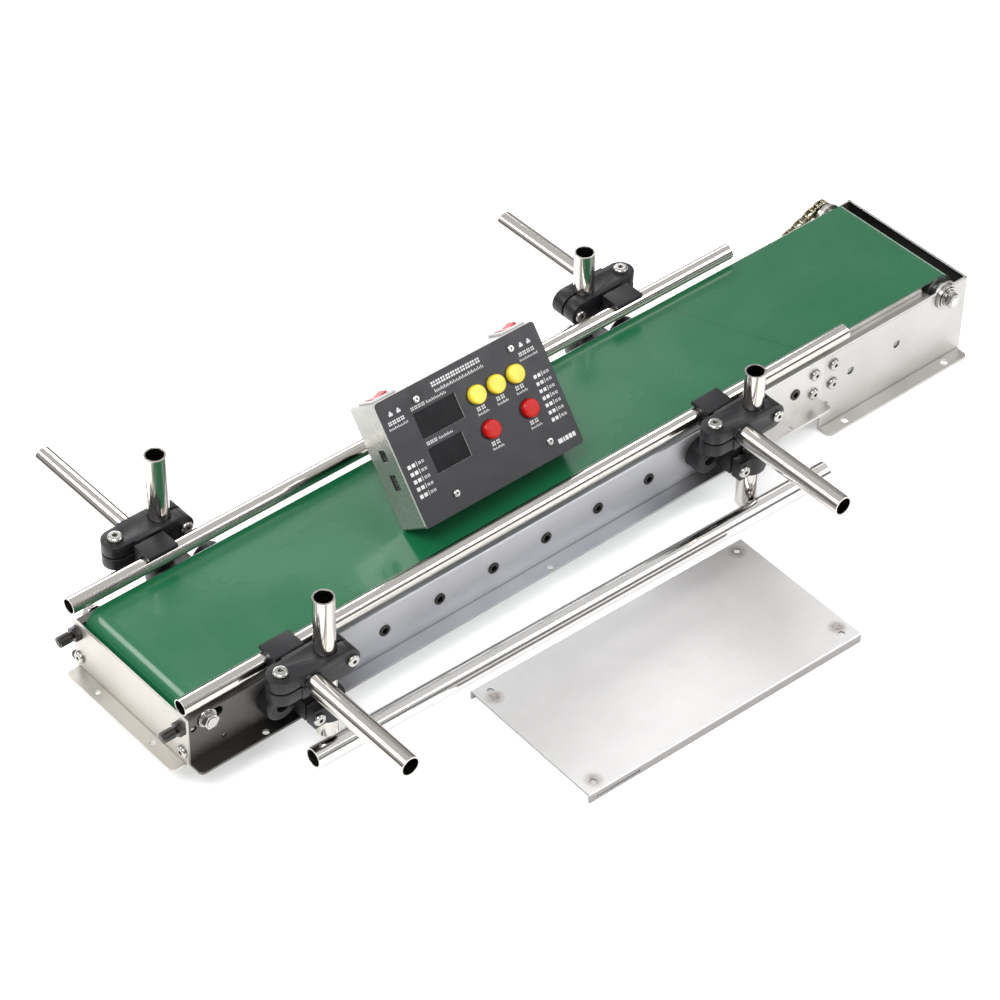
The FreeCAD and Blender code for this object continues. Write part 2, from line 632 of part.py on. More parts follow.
def bracket_bolts():
    """The bolt of each base bracket and the pinch screw of its ring."""
    screws = []
    for side, hole, way, cross, top in STATIONS:
        out = V(0, side, 0)
        screws.append(button_screw(V(hole_x(hole), side * (HALF + 7), HOLE_Z), out, 7 + SHEET + 3))
        screws.append(button_screw(V(post_x(hole, way) - way * PINCH, side * (POST_Y + 10), BRACKET_Z), out, 17))
    return group(screws)


def posts():
    tubes = []
    for side, hole, way, cross, top in STATIONS:
        start = V(post_x(hole, way), side * POST_Y, top - POST_LEN)
        tubes.append(ring(TUBE_R, TUBE_BORE_R, start, Z_AXIS, POST_LEN))
    return group(tubes)


def cross_clamp(hole, bracket_way, way):
    """Moulded cross clamp on the near side: holds the post and the cross rod beside it."""
    post = post_x(hole, bracket_way)
    cross = cross_x(hole, bracket_way, way)
    lobe = cross - way * LOBE_OFFSET
    z0, z1 = RAIL_Z - CLAMP_H / 2, RAIL_Z + CLAMP_H / 2
    end = post + way * (SIDE_SCREW + 7)
    x0, x1 = sorted((cross - way * 9, end))
    block = box((x0, x1), (-POST_Y - CLAMP_D / 2, -POST_Y + CLAMP_D / 2), (z0, z1))
    nose = CLAMP_H / 2 - 0.1
    block = rounded(block, nose, lambda middle, d: abs(d.y) > 0.999 and abs(middle.x - end) < 0.01)
    boss = rod(CLAMP_LOBE_R, V(lobe, -POST_Y, z0), Z_AXIS, CLAMP_H)
    x0, x1 = sorted((lobe, cross))
    neck = box((x0, x1), (-POST_Y - CLAMP_LOBE_R, -POST_Y + CLAMP_LOBE_R), (z0, z1))
    shape = joined([block, boss, neck])
    x0, x1 = sorted((lobe - way * 12, cross))
    flat_slit = box((x0, x1), (-POST_Y - 14, -POST_Y + 14), (RAIL_Z - CLAMP_SLIT / 2, RAIL_Z + CLAMP_SLIT / 2))
    x0, x1 = sorted((post, end + way))
    side_slit = box((x0, x1), (-POST_Y - CLAMP_SLIT / 2, -POST_Y + CLAMP_SLIT / 2), (z0 - 1, z1 + 1))
    cuts = [rod(TUBE_R + TUBE_FIT, V(post, -POST_Y, z0 - 1), Z_AXIS, CLAMP_H + 2),
            hole_y(cross, RAIL_Z, TUBE_R + TUBE_FIT, -POST_Y - 14, 28), flat_slit, side_slit,
            rod(LOBE_SCREW_R + HOLE_GAP, V(lobe, -POST_Y, z0 - 1), Z_AXIS, CLAMP_H + 2),
            hole_y(post + way * SIDE_SCREW, RAIL_Z, SCREW_R + HOLE_GAP, -POST_Y - 14, 28)]
    return shape.cut(cuts)


def clamp_screws(side):
    """An upright and a level socket screw for each cross clamp; the level ones all face the near side."""
    screws = []
    for where, hole, way, cross, top in stations(side):
        lobe = cross_x(hole, way, cross) - cross * LOBE_OFFSET
        seat = V(lobe, side * POST_Y, RAIL_Z + CLAMP_H / 2)
        screws.append(button_screw(seat, Z_AXIS, CLAMP_H - 1, LOBE_SCREW_R))
        at = V(post_x(hole, way) + cross * SIDE_SCREW, side * POST_Y - CLAMP_D / 2, RAIL_Z)
        screws.append(button_screw(at, -Y_AXIS, CLAMP_D - 1))
    return group(screws)


def guide_rail(side):
    return ring(RAIL_R, RAIL_BORE_R, V(RAIL_START, side * RAIL_Y, RAIL_Z), X_AXIS, RAIL_LEN)


def cross_rods(side):
    rods = []
    for where, hole, way, cross, top in stations(side):
        start = V(cross_x(hole, way, cross), side * (CLIP_BACK - ROD_SOCKET), RAIL_Z)
        rods.append(ring(TUBE_R, TUBE_BORE_R, start, V(0, side, 0), ROD_LEN))
    return group(rods)


def rail_clip(hole, way, cross):
    """Moulded clip: a tab over the rail and a back that seats the rail and takes the rod."""
    x = cross_x(hole, way, cross)
    half_w = 12.5
    low = BELT_TOP + 0.8
    tab = box((x - half_w, x + half_w), (-CLIP_BACK, -RAIL_Y + 6.0), (RAIL_Z + RAIL_R + 0.05, RAIL_Z + RAIL_R + 3.6))
    back = box((x - half_w, x + half_w), (-CLIP_BACK, -RAIL_Y), (low, RAIL_Z + RAIL_R + 0.05))
    shape = joined([tab, back])
    shape = rounded(shape, 1.2, lambda middle, d: abs(d.x) > 0.999 and middle.z > RAIL_Z + RAIL_R + 3)
    cuts = [rod(RAIL_R + TUBE_FIT, V(x - 20, -RAIL_Y, RAIL_Z), X_AXIS, 40),
            hole_y(x, RAIL_Z, TUBE_R + 0.02, -CLIP_BACK - 1, 1 + ROD_SOCKET)]
    return shape.cut(cuts)


# ---- loose pieces ----
def cover_plate():
    """Belly cover of the drive unit, taken off: a plate with two down-turned edges."""
    x = (COVER_X, COVER_X + COVER_LEN)
    y = (COVER_Y - WIDTH, COVER_Y)
    top = FLOOR + COVER_FLANGE
    plate = box(x, y, (top - COVER_T, top))
    edges = [box(x, (y[0], y[0] + COVER_T), (FLOOR, top)), box(x, (y[1] - COVER_T, y[1]), (FLOOR, top))]
    shape = joined([plate] + edges)
    shape = rounded(shape, BEND, lambda middle, way: abs(way.x) > 0.999 and abs(middle.z - top) < 0.01)
    cuts = [rod(2.5, V(px, py, FLOOR), Z_AXIS, 20) for px in (x[0] + 11, x[1] - 11)
            for py in (y[0] + 9, y[1] - 9)]
    cuts.append(box((x[0] + 6, x[0] + 46), (y[0] - 1, y[0] + COVER_T + 1), (FLOOR + 1.8, FLOOR + 4.6)))
    shape = shape.cut(cuts)
    shape.rotate(V(COVER_X, COVER_Y, 0), Z_AXIS, COVER_TURN)
    return shape


def spare_tube():
    way = V(math.cos(math.radians(SPARE_TURN)), math.sin(math.radians(SPARE_TURN)), 0)
    return ring(TUBE_R, TUBE_BORE_R, V(SPARE_X, SPARE_Y, FLOOR + TUBE_R), way, SPARE_LEN)


# ---- controller, drawn flat (u across, v up, n out of the face) and then tilted ----
def placed(shape):
    shape = shape.copy()
    shape.rotate(V(0, 0, 0), X_AXIS, BOX_TILT)
    shape.translate(V(BOX_X, BOX_Y, BELT_TOP + 0.3))
    return shape


def controller_box():
    w, h, d, t = BOX_W, BOX_H, BOX_D, BOX_WALL
    shell = rounded(box((0, w), (0, h), (0, d)), 2.0, along(Z_AXIS))
    hollow = box((t, w - t), (t, h - t), (t, d + 1))
    cuts = [hollow] + [box((-1, t + 1), v, (14, 22)) for v in SIDE_OPENINGS]
    for u in ROCKER_U:
        cuts.append(box((u - ROCKER_L / 2 - 0.5, u + ROCKER_L / 2 + 0.5), (h - t - 1, h + 1),
                        (ROCKER_N - ROCKER_W / 2 - 0.5, ROCKER_N + ROCKER_W / 2 + 0.5)))
    shell = shell.cut(cuts)
    posts_in = [rod(4, V(u, v, t), Z_AXIS, d - t).cut(rod(1.5 + 0.05, V(u, v, d - 12), Z_AXIS, 13))
                for u, v in FACE_SCREWS]
    return joined([shell] + posts_in)


def face_plate():
    plate = rounded(box((0, BOX_W), (0, BOX_H), (BOX_D, BOX_D + FACE_T)), 3.0, along(Z_AXIS))
    cuts = [rod(BUTTON_R + BUTTON_GAP, V(u, v, BOX_D - 1), Z_AXIS, 5) for name, u, v in BUTTON_PLACES]
    cuts += [box((u, u + w), (v, v + h), (BOX_D - 1, BOX_D + 4)) for u, v, w, h in WINDOWS]
    cuts += [rod(1.5 + HOLE_GAP, V(u, v, BOX_D - 1), Z_AXIS, 5) for u, v in FACE_SCREWS]
    return plate.cut(cuts)


def face_screws():
    return group([button_screw(V(u, v, BOX_D + FACE_T), Z_AXIS, 12, 1.5) for u, v in FACE_SCREWS])


def display_windows():
    """Dark windows behind the face, each with a rim that seats against it."""
    panes = []
    for u, v, w, h in WINDOWS:
        pane = box((u + 0.1, u + w - 0.1), (v + 0.1, v + h - 0.1), (BOX_D - 1.5, BOX_D + FACE_T - 0.7))
        rim = box((u - 2, u + w + 2), (v - 2, v + h + 2), (BOX_D - 6, BOX_D))
        panes.append(joined([pane, rim]))
    return group(panes)


def circuit_board():
    """Board on the four box posts' shoulders, under the displays and buttons."""
    board = box((8, BOX_W - 8), (8, BOX_H - 14), (BOX_D - 11, BOX_D - 9.4))
    cuts = [rod(4 + 0.05, V(u, v, 0), Z_AXIS, BOX_D) for u, v in FACE_SCREWS]
    carriers = [box((u + 3, u + w - 3), (v + 3, v + h - 3), (BOX_D - 9.4, BOX_D - 6)) for u, v, w, h in WINDOWS]
    switches = [ring(3.0, 1.2, V(u, v, BOX_D - 9.4), Z_AXIS, 2.0) for name, u, v in BUTTON_PLACES]
    return joined([board.cut(cuts)] + carriers + switches)


def push_button(u, v):
    cap = rod(BUTTON_R, V(u, v, BOX_D - 4), Z_AXIS, FACE_T + BUTTON_RISE + 4)
    rim = [e for e in cap.Edges if e.Curve.TypeId == "Part::GeomCircle"
           and e.Curve.Center.z > BOX_D + FACE_T]
    lip = rod(BUTTON_R + 1.2, V(u, v, BOX_D - 4), Z_AXIS, 4 - BUTTON_GAP)
    return joined([cap.makeFillet(1.6, rim), lip])


def rocker_housings():
    """Switch bodies with a frame on the box's upper side."""
    pieces = []
    for u in ROCKER_U:
        n = (ROCKER_N - ROCKER_W / 2, ROCKER_N + ROCKER_W / 2)
        length = (u - ROCKER_L / 2, u + ROCKER_L / 2)
        rim = box((length[0] - 2, length[1] + 2), (BOX_H, BOX_H + 1.5), (n[0] - 2, n[1] + 2))
        well = box((length[0], length[1]), (BOX_H - 11, BOX_H), n)
        inner = box((length[0] + 1.2, length[1] - 1.2), (BOX_H - 9, BOX_H + 3), (n[0] + 1.2, n[1] - 1.2))
        bore = rod(ROCKER_PIN_R + RUN_FIT, V(u, ROCKER_PIVOT, n[0] + 0.2), Z_AXIS, ROCKER_W - 0.4)
        pieces.append(joined([rim, well]).cut([inner, bore]))
    return group(pieces)


def rocker(u):
    """A seesaw cap, resting with one end down."""
    half_l, half_w = ROCKER_L / 2 - 2.2, ROCKER_W / 2 - 1.5
    low, high = ROCKER_PIVOT - 2.0, ROCKER_PIVOT + 4.6
    outline = [V(u - half_l, low, 0), V(u + half_l, low, 0), V(u + half_l, high, 0),
               V(u, high - 1.2, 0), V(u - half_l, high, 0), V(u - half_l, low, 0)]
    shape = Part.Face(Part.makePolygon(outline)).extrude(Z_AXIS * (2 * half_w))
    shape.translate(V(0, 0, ROCKER_N - half_w))
    reach = ROCKER_W / 2 - 0.5
    pin = rod(ROCKER_PIN_R, V(u, ROCKER_PIVOT, ROCKER_N - reach), Z_AXIS, 2 * reach)
    shape = joined([shape, pin])
    shape.rotate(V(u, ROCKER_PIVOT, ROCKER_N), Z_AXIS, ROCKER_REST)
    return shape


def side_connectors():
    """Terminal block and jack behind the openings in the box's side."""
    block = box((BOX_WALL + 0.3, 10), (29, 45), (12, 20.5))
    ways = [rod(1.2, V(0, 33 + 4 * k, 17), X_AXIS, 6) for k in range(3)]
    jack = box((BOX_WALL + 0.3, 10), (51, 64), (12, 20.5)).cut(rod(2.8, V(-3, 57.5, 17.5), X_AXIS, 9))
    base = box((10, 12), (27, 66), (BOX_WALL, 20.5))
    return joined([base, block.cut(ways), jack])


def controller_stand():
    """Folded strut behind the box that stands on the belt."""
    tilt = math.radians(BOX_TILT)
    v = 58.0
    top = V(0, BOX_Y + v * math.cos(tilt), BELT_TOP + 0.3 + v * math.sin(tilt))
    back = V(0, math.sin(tilt), -math.cos(tilt))
    start = top + back * 0.02
    up = V(0, math.cos(tilt), math.sin(tilt))
    foot_y = 33.0
    low = BELT_TOP + 0.3
    points = [start, start + up * 14, start + up * 14 + back * 1.5, start + back * 1.5 + V(0, 0.6, -0.4),
              V(0, foot_y, low + 1.5), V(0, foot_y, low), V(0, foot_y - 12, low), V(0, foot_y - 12, low + 1.5),
              V(0, foot_y - 1.6, low + 1.5), start - up * 1.6 + back * 0.02, start]
    face = Part.Face(Part.makePolygon(points))
    shape = face.extrude(X_AXIS * 70)
    shape.translate(V(BOX_X + BOX_W / 2 - 35, 0, 0))
    return shape


def pair(side, make):
    """One piece per station of a side."""
    return group([sided(make(*s[1:4]), side) for s in stations(side)])


def nodes():
    parts = {}
    parts["side_panel_near"] = tail_panel()
    parts["side_panel_far"] = mirrored(tail_panel())
    parts["drive_panel_near"] = joined([drive_panel(), splice_tab()])
    parts["drive_panel_far"] = joined([far_drive_panel(), mirrored(splice_tab())])
    parts["splice_plates"] = group([splice_plate(), mirrored(splice_plate())])
    parts["tail_plate"] = tail_plate()
    parts["drive_end_plate"] = drive_end_plate()
    parts["slider_bed"] = slider_bed()
    parts["cross_members"] = group(cross_members())
    parts["tail_foot"] = tail_foot()
    parts["frame_screws"] = frame_screws()
    parts["rivet_nuts"] = rivet_nuts()
    parts["tail_axle"] = tail_axle()
    parts["axle_nuts"] = axle_nuts()
    parts["tension_bolts"] = tension_bolts()
    parts["drive_bearings"] = group([drive_bearing(), mirrored(drive_bearing())])
    parts["belt"] = belt()
    parts["tail_roller"] = tail_roller()
    parts["tail_bearings"] = tail_bearings()
    parts["drive_roller"] = drive_roller()
    parts["drive_sprocket"] = sprocket(DRIVE_AXLE_X, AXLE_Z, DRIVE_SHAFT_R + 0.02, HUB_R)
    parts["shaft_nut"] = shaft_nut()
    parts["motor_sprocket"] = motor_sprocket()
    parts["drive_chain"] = drive_chain()
    parts["motor_bracket"] = motor_bracket()
    parts["gearbox"] = gearbox()
    parts["motor"] = motor()
    parts["posts"] = posts()
    parts["bracket_bolts"] = bracket_bolts()
    for name, side in (("near", -1), ("far", 1)):
        parts["base_brackets_" + name] = pair(side, base_bracket)
        parts["cross_clamps_" + name] = pair(side, cross_clamp)
        parts["clamp_screws_" + name] = clamp_screws(side)
        parts["guide_rail_" + name] = guide_rail(side)
        parts["cross_rods_" + name] = cross_rods(side)
        parts["rail_clips_" + name] = pair(side, rail_clip)
    parts["cover_plate"] = cover_plate()
    parts["spare_tube"] = spare_tube()
    parts["controller_box"] = placed(controller_box())
    parts["face_plate"] = placed(face_plate())
    parts["face_screws"] = placed(face_screws())
    parts["display_windows"] = placed(display_windows())
    parts["circuit_board"] = placed(circuit_board())
    parts["rocker_housings"] = placed(rocker_housings())
    parts["side_connectors"] = placed(side_connectors())
    parts["controller_stand"] = controller_stand()
    for name, u, v in BUTTON_PLACES:
        parts[name] = placed(push_button(u, v))
    for name, u in zip(("rocker_left", "rocker_right"), ROCKER_U):
        parts[name] = placed(rocker(u))
    return parts


os.makedirs("parts", exist_ok=True)
for node, solid in nodes().items():
    solid = solid.copy()
    solid.translate(-ORIGIN)
    solid.exportStep("parts/" + node + ".step")
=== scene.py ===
"""Finishes, printed panel, moulded parts and studio for a small belt conveyor section."""

import json
import math

import bpy
from mathutils import Matrix, Vector

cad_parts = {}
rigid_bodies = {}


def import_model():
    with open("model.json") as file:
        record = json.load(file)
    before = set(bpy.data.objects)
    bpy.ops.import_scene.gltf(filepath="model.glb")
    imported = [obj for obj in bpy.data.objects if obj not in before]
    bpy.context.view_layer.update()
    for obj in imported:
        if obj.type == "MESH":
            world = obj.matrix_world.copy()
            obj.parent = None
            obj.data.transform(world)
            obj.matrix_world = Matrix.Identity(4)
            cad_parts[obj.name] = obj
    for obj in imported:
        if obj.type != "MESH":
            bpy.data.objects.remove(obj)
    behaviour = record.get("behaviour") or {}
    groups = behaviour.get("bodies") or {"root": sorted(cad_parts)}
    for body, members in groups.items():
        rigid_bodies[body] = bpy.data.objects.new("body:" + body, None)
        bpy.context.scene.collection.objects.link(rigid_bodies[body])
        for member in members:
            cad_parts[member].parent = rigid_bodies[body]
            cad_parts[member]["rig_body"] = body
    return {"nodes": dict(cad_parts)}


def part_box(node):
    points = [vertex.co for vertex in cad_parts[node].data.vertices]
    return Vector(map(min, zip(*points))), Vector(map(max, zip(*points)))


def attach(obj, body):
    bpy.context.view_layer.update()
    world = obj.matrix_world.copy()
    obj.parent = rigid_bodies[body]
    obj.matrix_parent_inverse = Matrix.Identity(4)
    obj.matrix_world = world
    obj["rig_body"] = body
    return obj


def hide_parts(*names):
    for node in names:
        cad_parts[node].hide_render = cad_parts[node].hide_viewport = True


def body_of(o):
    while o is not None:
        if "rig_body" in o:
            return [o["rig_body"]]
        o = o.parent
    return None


bl_info = {
    "name": "Belt conveyor looks",
    "version": (1, 0, 0),
    "blender": (4, 5, 0),
    "location": "View3D > Sidebar > Conveyor",
    "description": "Dresses the belt conveyor section and sets its studio",
    "category": "Object",
}

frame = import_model()
NODES = frame["nodes"]
MM = 0.001
FACE_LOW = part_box("face_plate")[0]
FLOOR_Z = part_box("drive_end_plate")[0][2]

# Places and sizes of details. Lengths are in metres, and a fade is where a mask is 0 and 1.
FLOOR_DROP = 0.2 * MM
FLOOR_WIDTH = 30.0
FACE_THICK = 2.0 * MM
SPLICE_AT = -0.115
SPLICE_SLANT = 0.42  # along the belt for each metre across it
SPLICE_FADE = (0.0007, 0.0003)
RAW_EDGE_FADE = (56.85 * MM, 56.98 * MM)
# Along X: painted shade at the tail end of the long panels, and a painted reflection towards
# their joint.
TAIL_PAINTED_SHADE_FADE = (-0.46, -0.58)
JOINT_PAINTED_REFLECTION_FADE = (-0.20, -0.08)
COVER_HOLE_INSET = (12 * MM, 16 * MM)
# Brown round the cover's holes: partly a real stain, partly painted shade over the holes' edges.
HOLE_STAIN_SHADE_FADE = (8.0 * MM, 2.5 * MM)
# Size of a recess that is darkened as painted shade.
CREVICE_REACH = 2.0 * MM
PRINT_EDGE = 0.02 * MM
DIGITS_LOW, DIGITS_HIGH = -0.7 * MM, -0.66 * MM  # below the panel's front
MARK_CORNER, DIGIT_CORNER = 0.35 * MM, 0.3 * MM
WELD = 0.002 * MM
LEVEL = 1e-6  # an edge that rises more than this is upright
FLAT_WITHIN = math.radians(1.0)
ROUNDED_OVER = math.radians(40.0)
SMOOTH_UNDER = math.radians(35.0)

# Display windows on the panel, in millimetres: across, up, width and height.
WINDOWS = ((26.0, 57.5, 38.0, 19.5), (26.0, 31.0, 31.0, 19.0))
WINDOW_DIGITS = 4

# Grain runs along the axis whose stretch is small; a larger scale is a finer grain.
ALONG_X, ALONG_Y, ALONG_Z = (0.02, 1.0, 1.0), (1.0, 0.02, 1.0), (1.0, 1.0, 0.02)
EVEN = (1, 1, 1)
CAST, ROLLED, DRAWN, TURNED = 900.0, 1100.0, 1500.0, 2500.0

# Tints that lie over a finish. Some are painted light: the black of the end plate's inner side,
# the tail panels' dark end and the cover's side colour are painted shade, the panels' light end
# near the joint is a painted reflection, and the brown round the cover's holes is a stain made
# darker as painted shade in the holes.
END_PLATE_INNER_SHADE = (0.035, 0.034, 0.033)
TAIL_PAINTED_SHADE = (0.105, 0.098, 0.092)
JOINT_PAINTED_REFLECTION = (0.56, 0.55, 0.535)
CUT_METAL = (0.46, 0.46, 0.44)
SCUFF = (0.06, 0.17, 0.10)
RAW_BELT = (0.045, 0.085, 0.06)
HOLE_STAIN_SHADE_BROWN = (0.20, 0.13, 0.085)
COVER_SIDE_SHADE = (0.30, 0.29, 0.285)
COPPER = (0.25, 0.30, 0.10)

# The surrounding light: how high, from straight down (0) to straight up (1), and how bright.
SKY_BELOW, SKY_ABOVE = 0.8, 1.0
SKY_STOPS = ((0.49, 0.75), (0.52, 0.12), (0.60, 0.20), (0.66, 0.80), (0.78, 0.45), (0.89, 1.0))

# Lights: name, place, aim, size, and the setting with the power.
LIGHTS = (
    ("key", (-1.6, -0.6, 2.4), (-0.2, 0, 0), (1.6, 1.2), "key_power"),
    ("fill", (1.4, -1.8, 1.8), (-0.1, 0, 0), (1.4, 1.0), "fill_power"),
    ("back", (0.6, 2.2, 1.5), (-0.1, 0, 0), (2.0, 0.6), "fill_power"),
    ("tail glow", (-1.75, 1.25, 1.75), (-0.66, 0, 0.06), (1.3, 0.7), "tail_power"),
)


# ---- settings ----
def colour_setting(name, description, default):
    return bpy.props.FloatVectorProperty(
        name=name, description=description, subtype="COLOR", size=3, min=0.0, max=1.0,
        default=default)


def length_setting(name, description, default):
    return bpy.props.FloatProperty(
        name=name, description=description, unit="LENGTH", default=default, min=0.0, precision=5)


def angle_setting(name, description, degrees):
    return bpy.props.FloatProperty(
        name=name, description=description, subtype="ANGLE", default=math.radians(degrees))


def power_setting(name, description, default):
    return bpy.props.FloatProperty(
        name=name, description=description, unit="POWER", default=default, min=0.0)


class ConveyorColours(bpy.types.PropertyGroup):
    """Base colours of the finishes."""

    belt: colour_setting("Belt", "PVC cover of the belt", (0.003, 0.092, 0.033))
    sheet: colour_setting(
        "Sheet steel", "Drive unit, joint plates, bed and foot", (0.52, 0.508, 0.492))
    # The long panels are the same steel as the drive unit; their separate, bluer colour stands in
    # for what they reflect, as painted light.
    tail_sheet: colour_setting("Tail sheet", "Long side panels", (0.53, 0.538, 0.565))
    tail_plate: colour_setting("Tail plate", "Plate across the tail end", (0.56, 0.54, 0.505))
    cover_sheet: colour_setting("Cover sheet", "Loose cover", (0.90, 0.89, 0.885))
    box_sheet: colour_setting("Box sheet", "Case of the control box", (0.42, 0.42, 0.40))
    tube: colour_setting("Tube", "Polished rails, rods and posts", (0.60, 0.575, 0.545))
    spare: colour_setting("Spare tube", "Loose tube beside the conveyor", (0.74, 0.725, 0.71))
    screw: colour_setting("Screw", "Bright screws and nuts", (0.50, 0.49, 0.47))
    dark_screw: colour_setting(
        "Dark bolt", "Belt tension bolts and the nuts in the side holes", (0.06, 0.057, 0.054))
    nylon: colour_setting(
        "Nylon", "Moulded clamps, brackets and clips", (0.009, 0.009, 0.011))
    panel: colour_setting("Panel film", "Film on the control panel", (0.013, 0.013, 0.017))
    ink: colour_setting("Ink", "Printing on the control panel", (0.62, 0.62, 0.63))
    yellow: colour_setting("Yellow keys", "Yellow push buttons", (0.78, 0.59, 0.035))
    red: colour_setting("Red keys", "Red push buttons and switches", (0.42, 0.004, 0.002))
    window: colour_setting("Window", "Smoked display windows", (0.004, 0.004, 0.006))
    segment: colour_setting(
        "Segments", "Unlit digits behind the windows", (0.007, 0.006, 0.007))
    board: colour_setting("Board", "Circuit board", (0.010, 0.105, 0.040))
    alloy: colour_setting("Alloy", "Rollers, gearbox and cross members", (0.70, 0.70, 0.71))
    black_steel: colour_setting("Black steel", "Motor and tail bearings", (0.060, 0.060, 0.064))
    chain: colour_setting("Chain", "Roller chain and sprockets", (0.46, 0.43, 0.31))
    light_plastic: colour_setting("Light plastic", "Switch frames", (0.62, 0.60, 0.60))
    grey_plastic: colour_setting(
        "Grey plastic", "Connectors in the case side", (0.055, 0.055, 0.060))
    floor: colour_setting("Floor", "Studio floor", (0.86, 0.86, 0.86))


class ConveyorSizes(bpy.types.PropertyGroup):
    """Sizes of the details added to the frame."""

    moulded_edge: length_setting(
        "Moulded edge", "Edge rounding of the moulded parts", 0.8 * MM)
    sheet_edge: length_setting("Sheet edge", "Edge softness of cut sheet", 0.35 * MM)
    ink_height: length_setting("Ink height", "Thickness of the printed marks", 0.06 * MM)
    panel_tilt: angle_setting("Panel tilt", "Angle of the control panel to the belt", 52.0)


class ConveyorStudio(bpy.types.PropertyGroup):
    """Camera and lights."""

    place: bpy.props.FloatVectorProperty(
        name="Camera place", description="Camera position", subtype="TRANSLATION", size=3,
        precision=4, default=(-1.5892, -1.4153, 1.7204))
    heading: angle_setting("Heading", "Camera heading from the conveyor's length", 48.92)
    dip: angle_setting("Dip", "Camera angle below level", 42.46)
    roll: angle_setting("Roll", "Camera roll", 0.86)
    lens: bpy.props.FloatProperty(
        name="Lens", description="Focal length in millimetres", unit="CAMERA", default=123.7)
    shift: bpy.props.FloatVectorProperty(
        name="Shift", description="Lens shift", size=2, precision=4, default=(0.011, 0.040))
    key_power: power_setting("Key", "Key light in watts", 62.0)
    fill_power: power_setting("Fill", "Fill and back lights in watts", 26.0)
    tail_power: power_setting("Tail glow", "Light over the tail's turn in watts", 18.0)
    sky: bpy.props.FloatProperty(
        name="Sky", description="Strength of the surrounding light", subtype="FACTOR",
        default=0.82, min=0.0, soft_max=2.0)


# ---- node helpers ----
def new_group(name, inputs, outputs):
    """An empty shader group with (kind, name, default) inputs and (kind, name) outputs."""
    tree = bpy.data.node_groups.new(name, "ShaderNodeTree")
    for kind, label, default in inputs:
        socket = tree.interface.new_socket(label, in_out="INPUT", socket_type="NodeSocket" + kind)
        socket.default_value = default
    for kind, label in outputs:
        tree.interface.new_socket(label, in_out="OUTPUT", socket_type="NodeSocket" + kind)
    return tree, tree.nodes.new("NodeGroupInput"), tree.nodes.new("NodeGroupOutput")


def math_node(tree, operation, first, second=0.0, clamp=False):
    """first (operation) second, each a socket or a number."""
    node = tree.nodes.new("ShaderNodeMath")
    node.operation = operation
    node.use_clamp = clamp
    for socket, value in zip(node.inputs, (first, second)):
        if isinstance(value, bpy.types.NodeSocket):
            tree.links.new(value, socket)
        else:
            socket.default_value = value
    return node.outputs[0]


def remap(tree, value, low, high, out_low=0.0, out_high=1.0):
    """value taken from the range low..high to out_low..out_high, clamped."""
    node = tree.nodes.new("ShaderNodeMapRange")
    node.inputs["From Min"].default_value = low
    node.inputs["From Max"].default_value = high
    node.inputs["To Min"].default_value = out_low
    node.inputs["To Max"].default_value = out_high
    tree.links.new(value, node.inputs["Value"])
    return node.outputs["Result"]


def mix_colour(tree, mask, first, second):
    """first where the mask is 0 and second where it is 1."""
    node = tree.nodes.new("ShaderNodeMix")
    node.data_type = "RGBA"
    factor, colour_a, colour_b, colour_out = 0, 6, 7, 2
    sockets = (node.inputs[factor], node.inputs[colour_a], node.inputs[colour_b])
    for socket, value in zip(sockets, (mask, first, second)):
        if isinstance(value, bpy.types.NodeSocket):
            tree.links.new(value, socket)
        else:
            socket.default_value = value
    return node.outputs[colour_out]


def noise(tree, vector, scale):
    node = tree.nodes.new("ShaderNodeTexNoise")
    node.inputs["Scale"].default_value = scale
    node.inputs["Detail"].default_value = 3.0
    node.inputs["Roughness"].default_value = 0.55
    tree.links.new(vector, node.inputs["Vector"])
    return node.outputs["Fac"]


# ---- shared effects ----
def grain_effect():
    """Fine streaks, long in the direction whose stretch is small."""
    tree, start, end = new_group(
        "Grain", [("Vector", "Vector", (0, 0, 0)), ("Vector", "Stretch", (0.02, 1.0, 1.0)),
                  ("Float", "Scale", 1200.0)], [("Float", "Streaks")])
    stretch = tree.nodes.new("ShaderNodeVectorMath")
    stretch.operation = "MULTIPLY"
    tree.links.new(start.outputs["Vector"], stretch.inputs[0])
    tree.links.new(start.outputs["Stretch"], stretch.inputs[1])
    texture = tree.nodes.new("ShaderNodeTexNoise")
    texture.inputs["Detail"].default_value = 2.0
    tree.links.new(stretch.outputs[0], texture.inputs["Vector"])
    tree.links.new(start.outputs["Scale"], texture.inputs["Scale"])
    tree.links.new(remap(tree, texture.outputs["Fac"], 0.3, 0.7), end.inputs["Streaks"])
    return tree


def smudge_effect():
    """Broad cloudy handling marks."""
    tree, start, end = new_group(
        "Smudges", [("Vector", "Vector", (0, 0, 0)), ("Float", "Scale", 14.0)],
        [("Float", "Cloud")])
    texture = tree.nodes.new("ShaderNodeTexNoise")
    texture.inputs["Detail"].default_value = 5.0
    texture.inputs["Roughness"].default_value = 0.62
    texture.inputs["Distortion"].default_value = 0.6
    tree.links.new(start.outputs["Vector"], texture.inputs["Vector"])
    tree.links.new(start.outputs["Scale"], texture.inputs["Scale"])
    tree.links.new(remap(tree, texture.outputs["Fac"], 0.36, 0.66), end.inputs["Cloud"])
    return tree


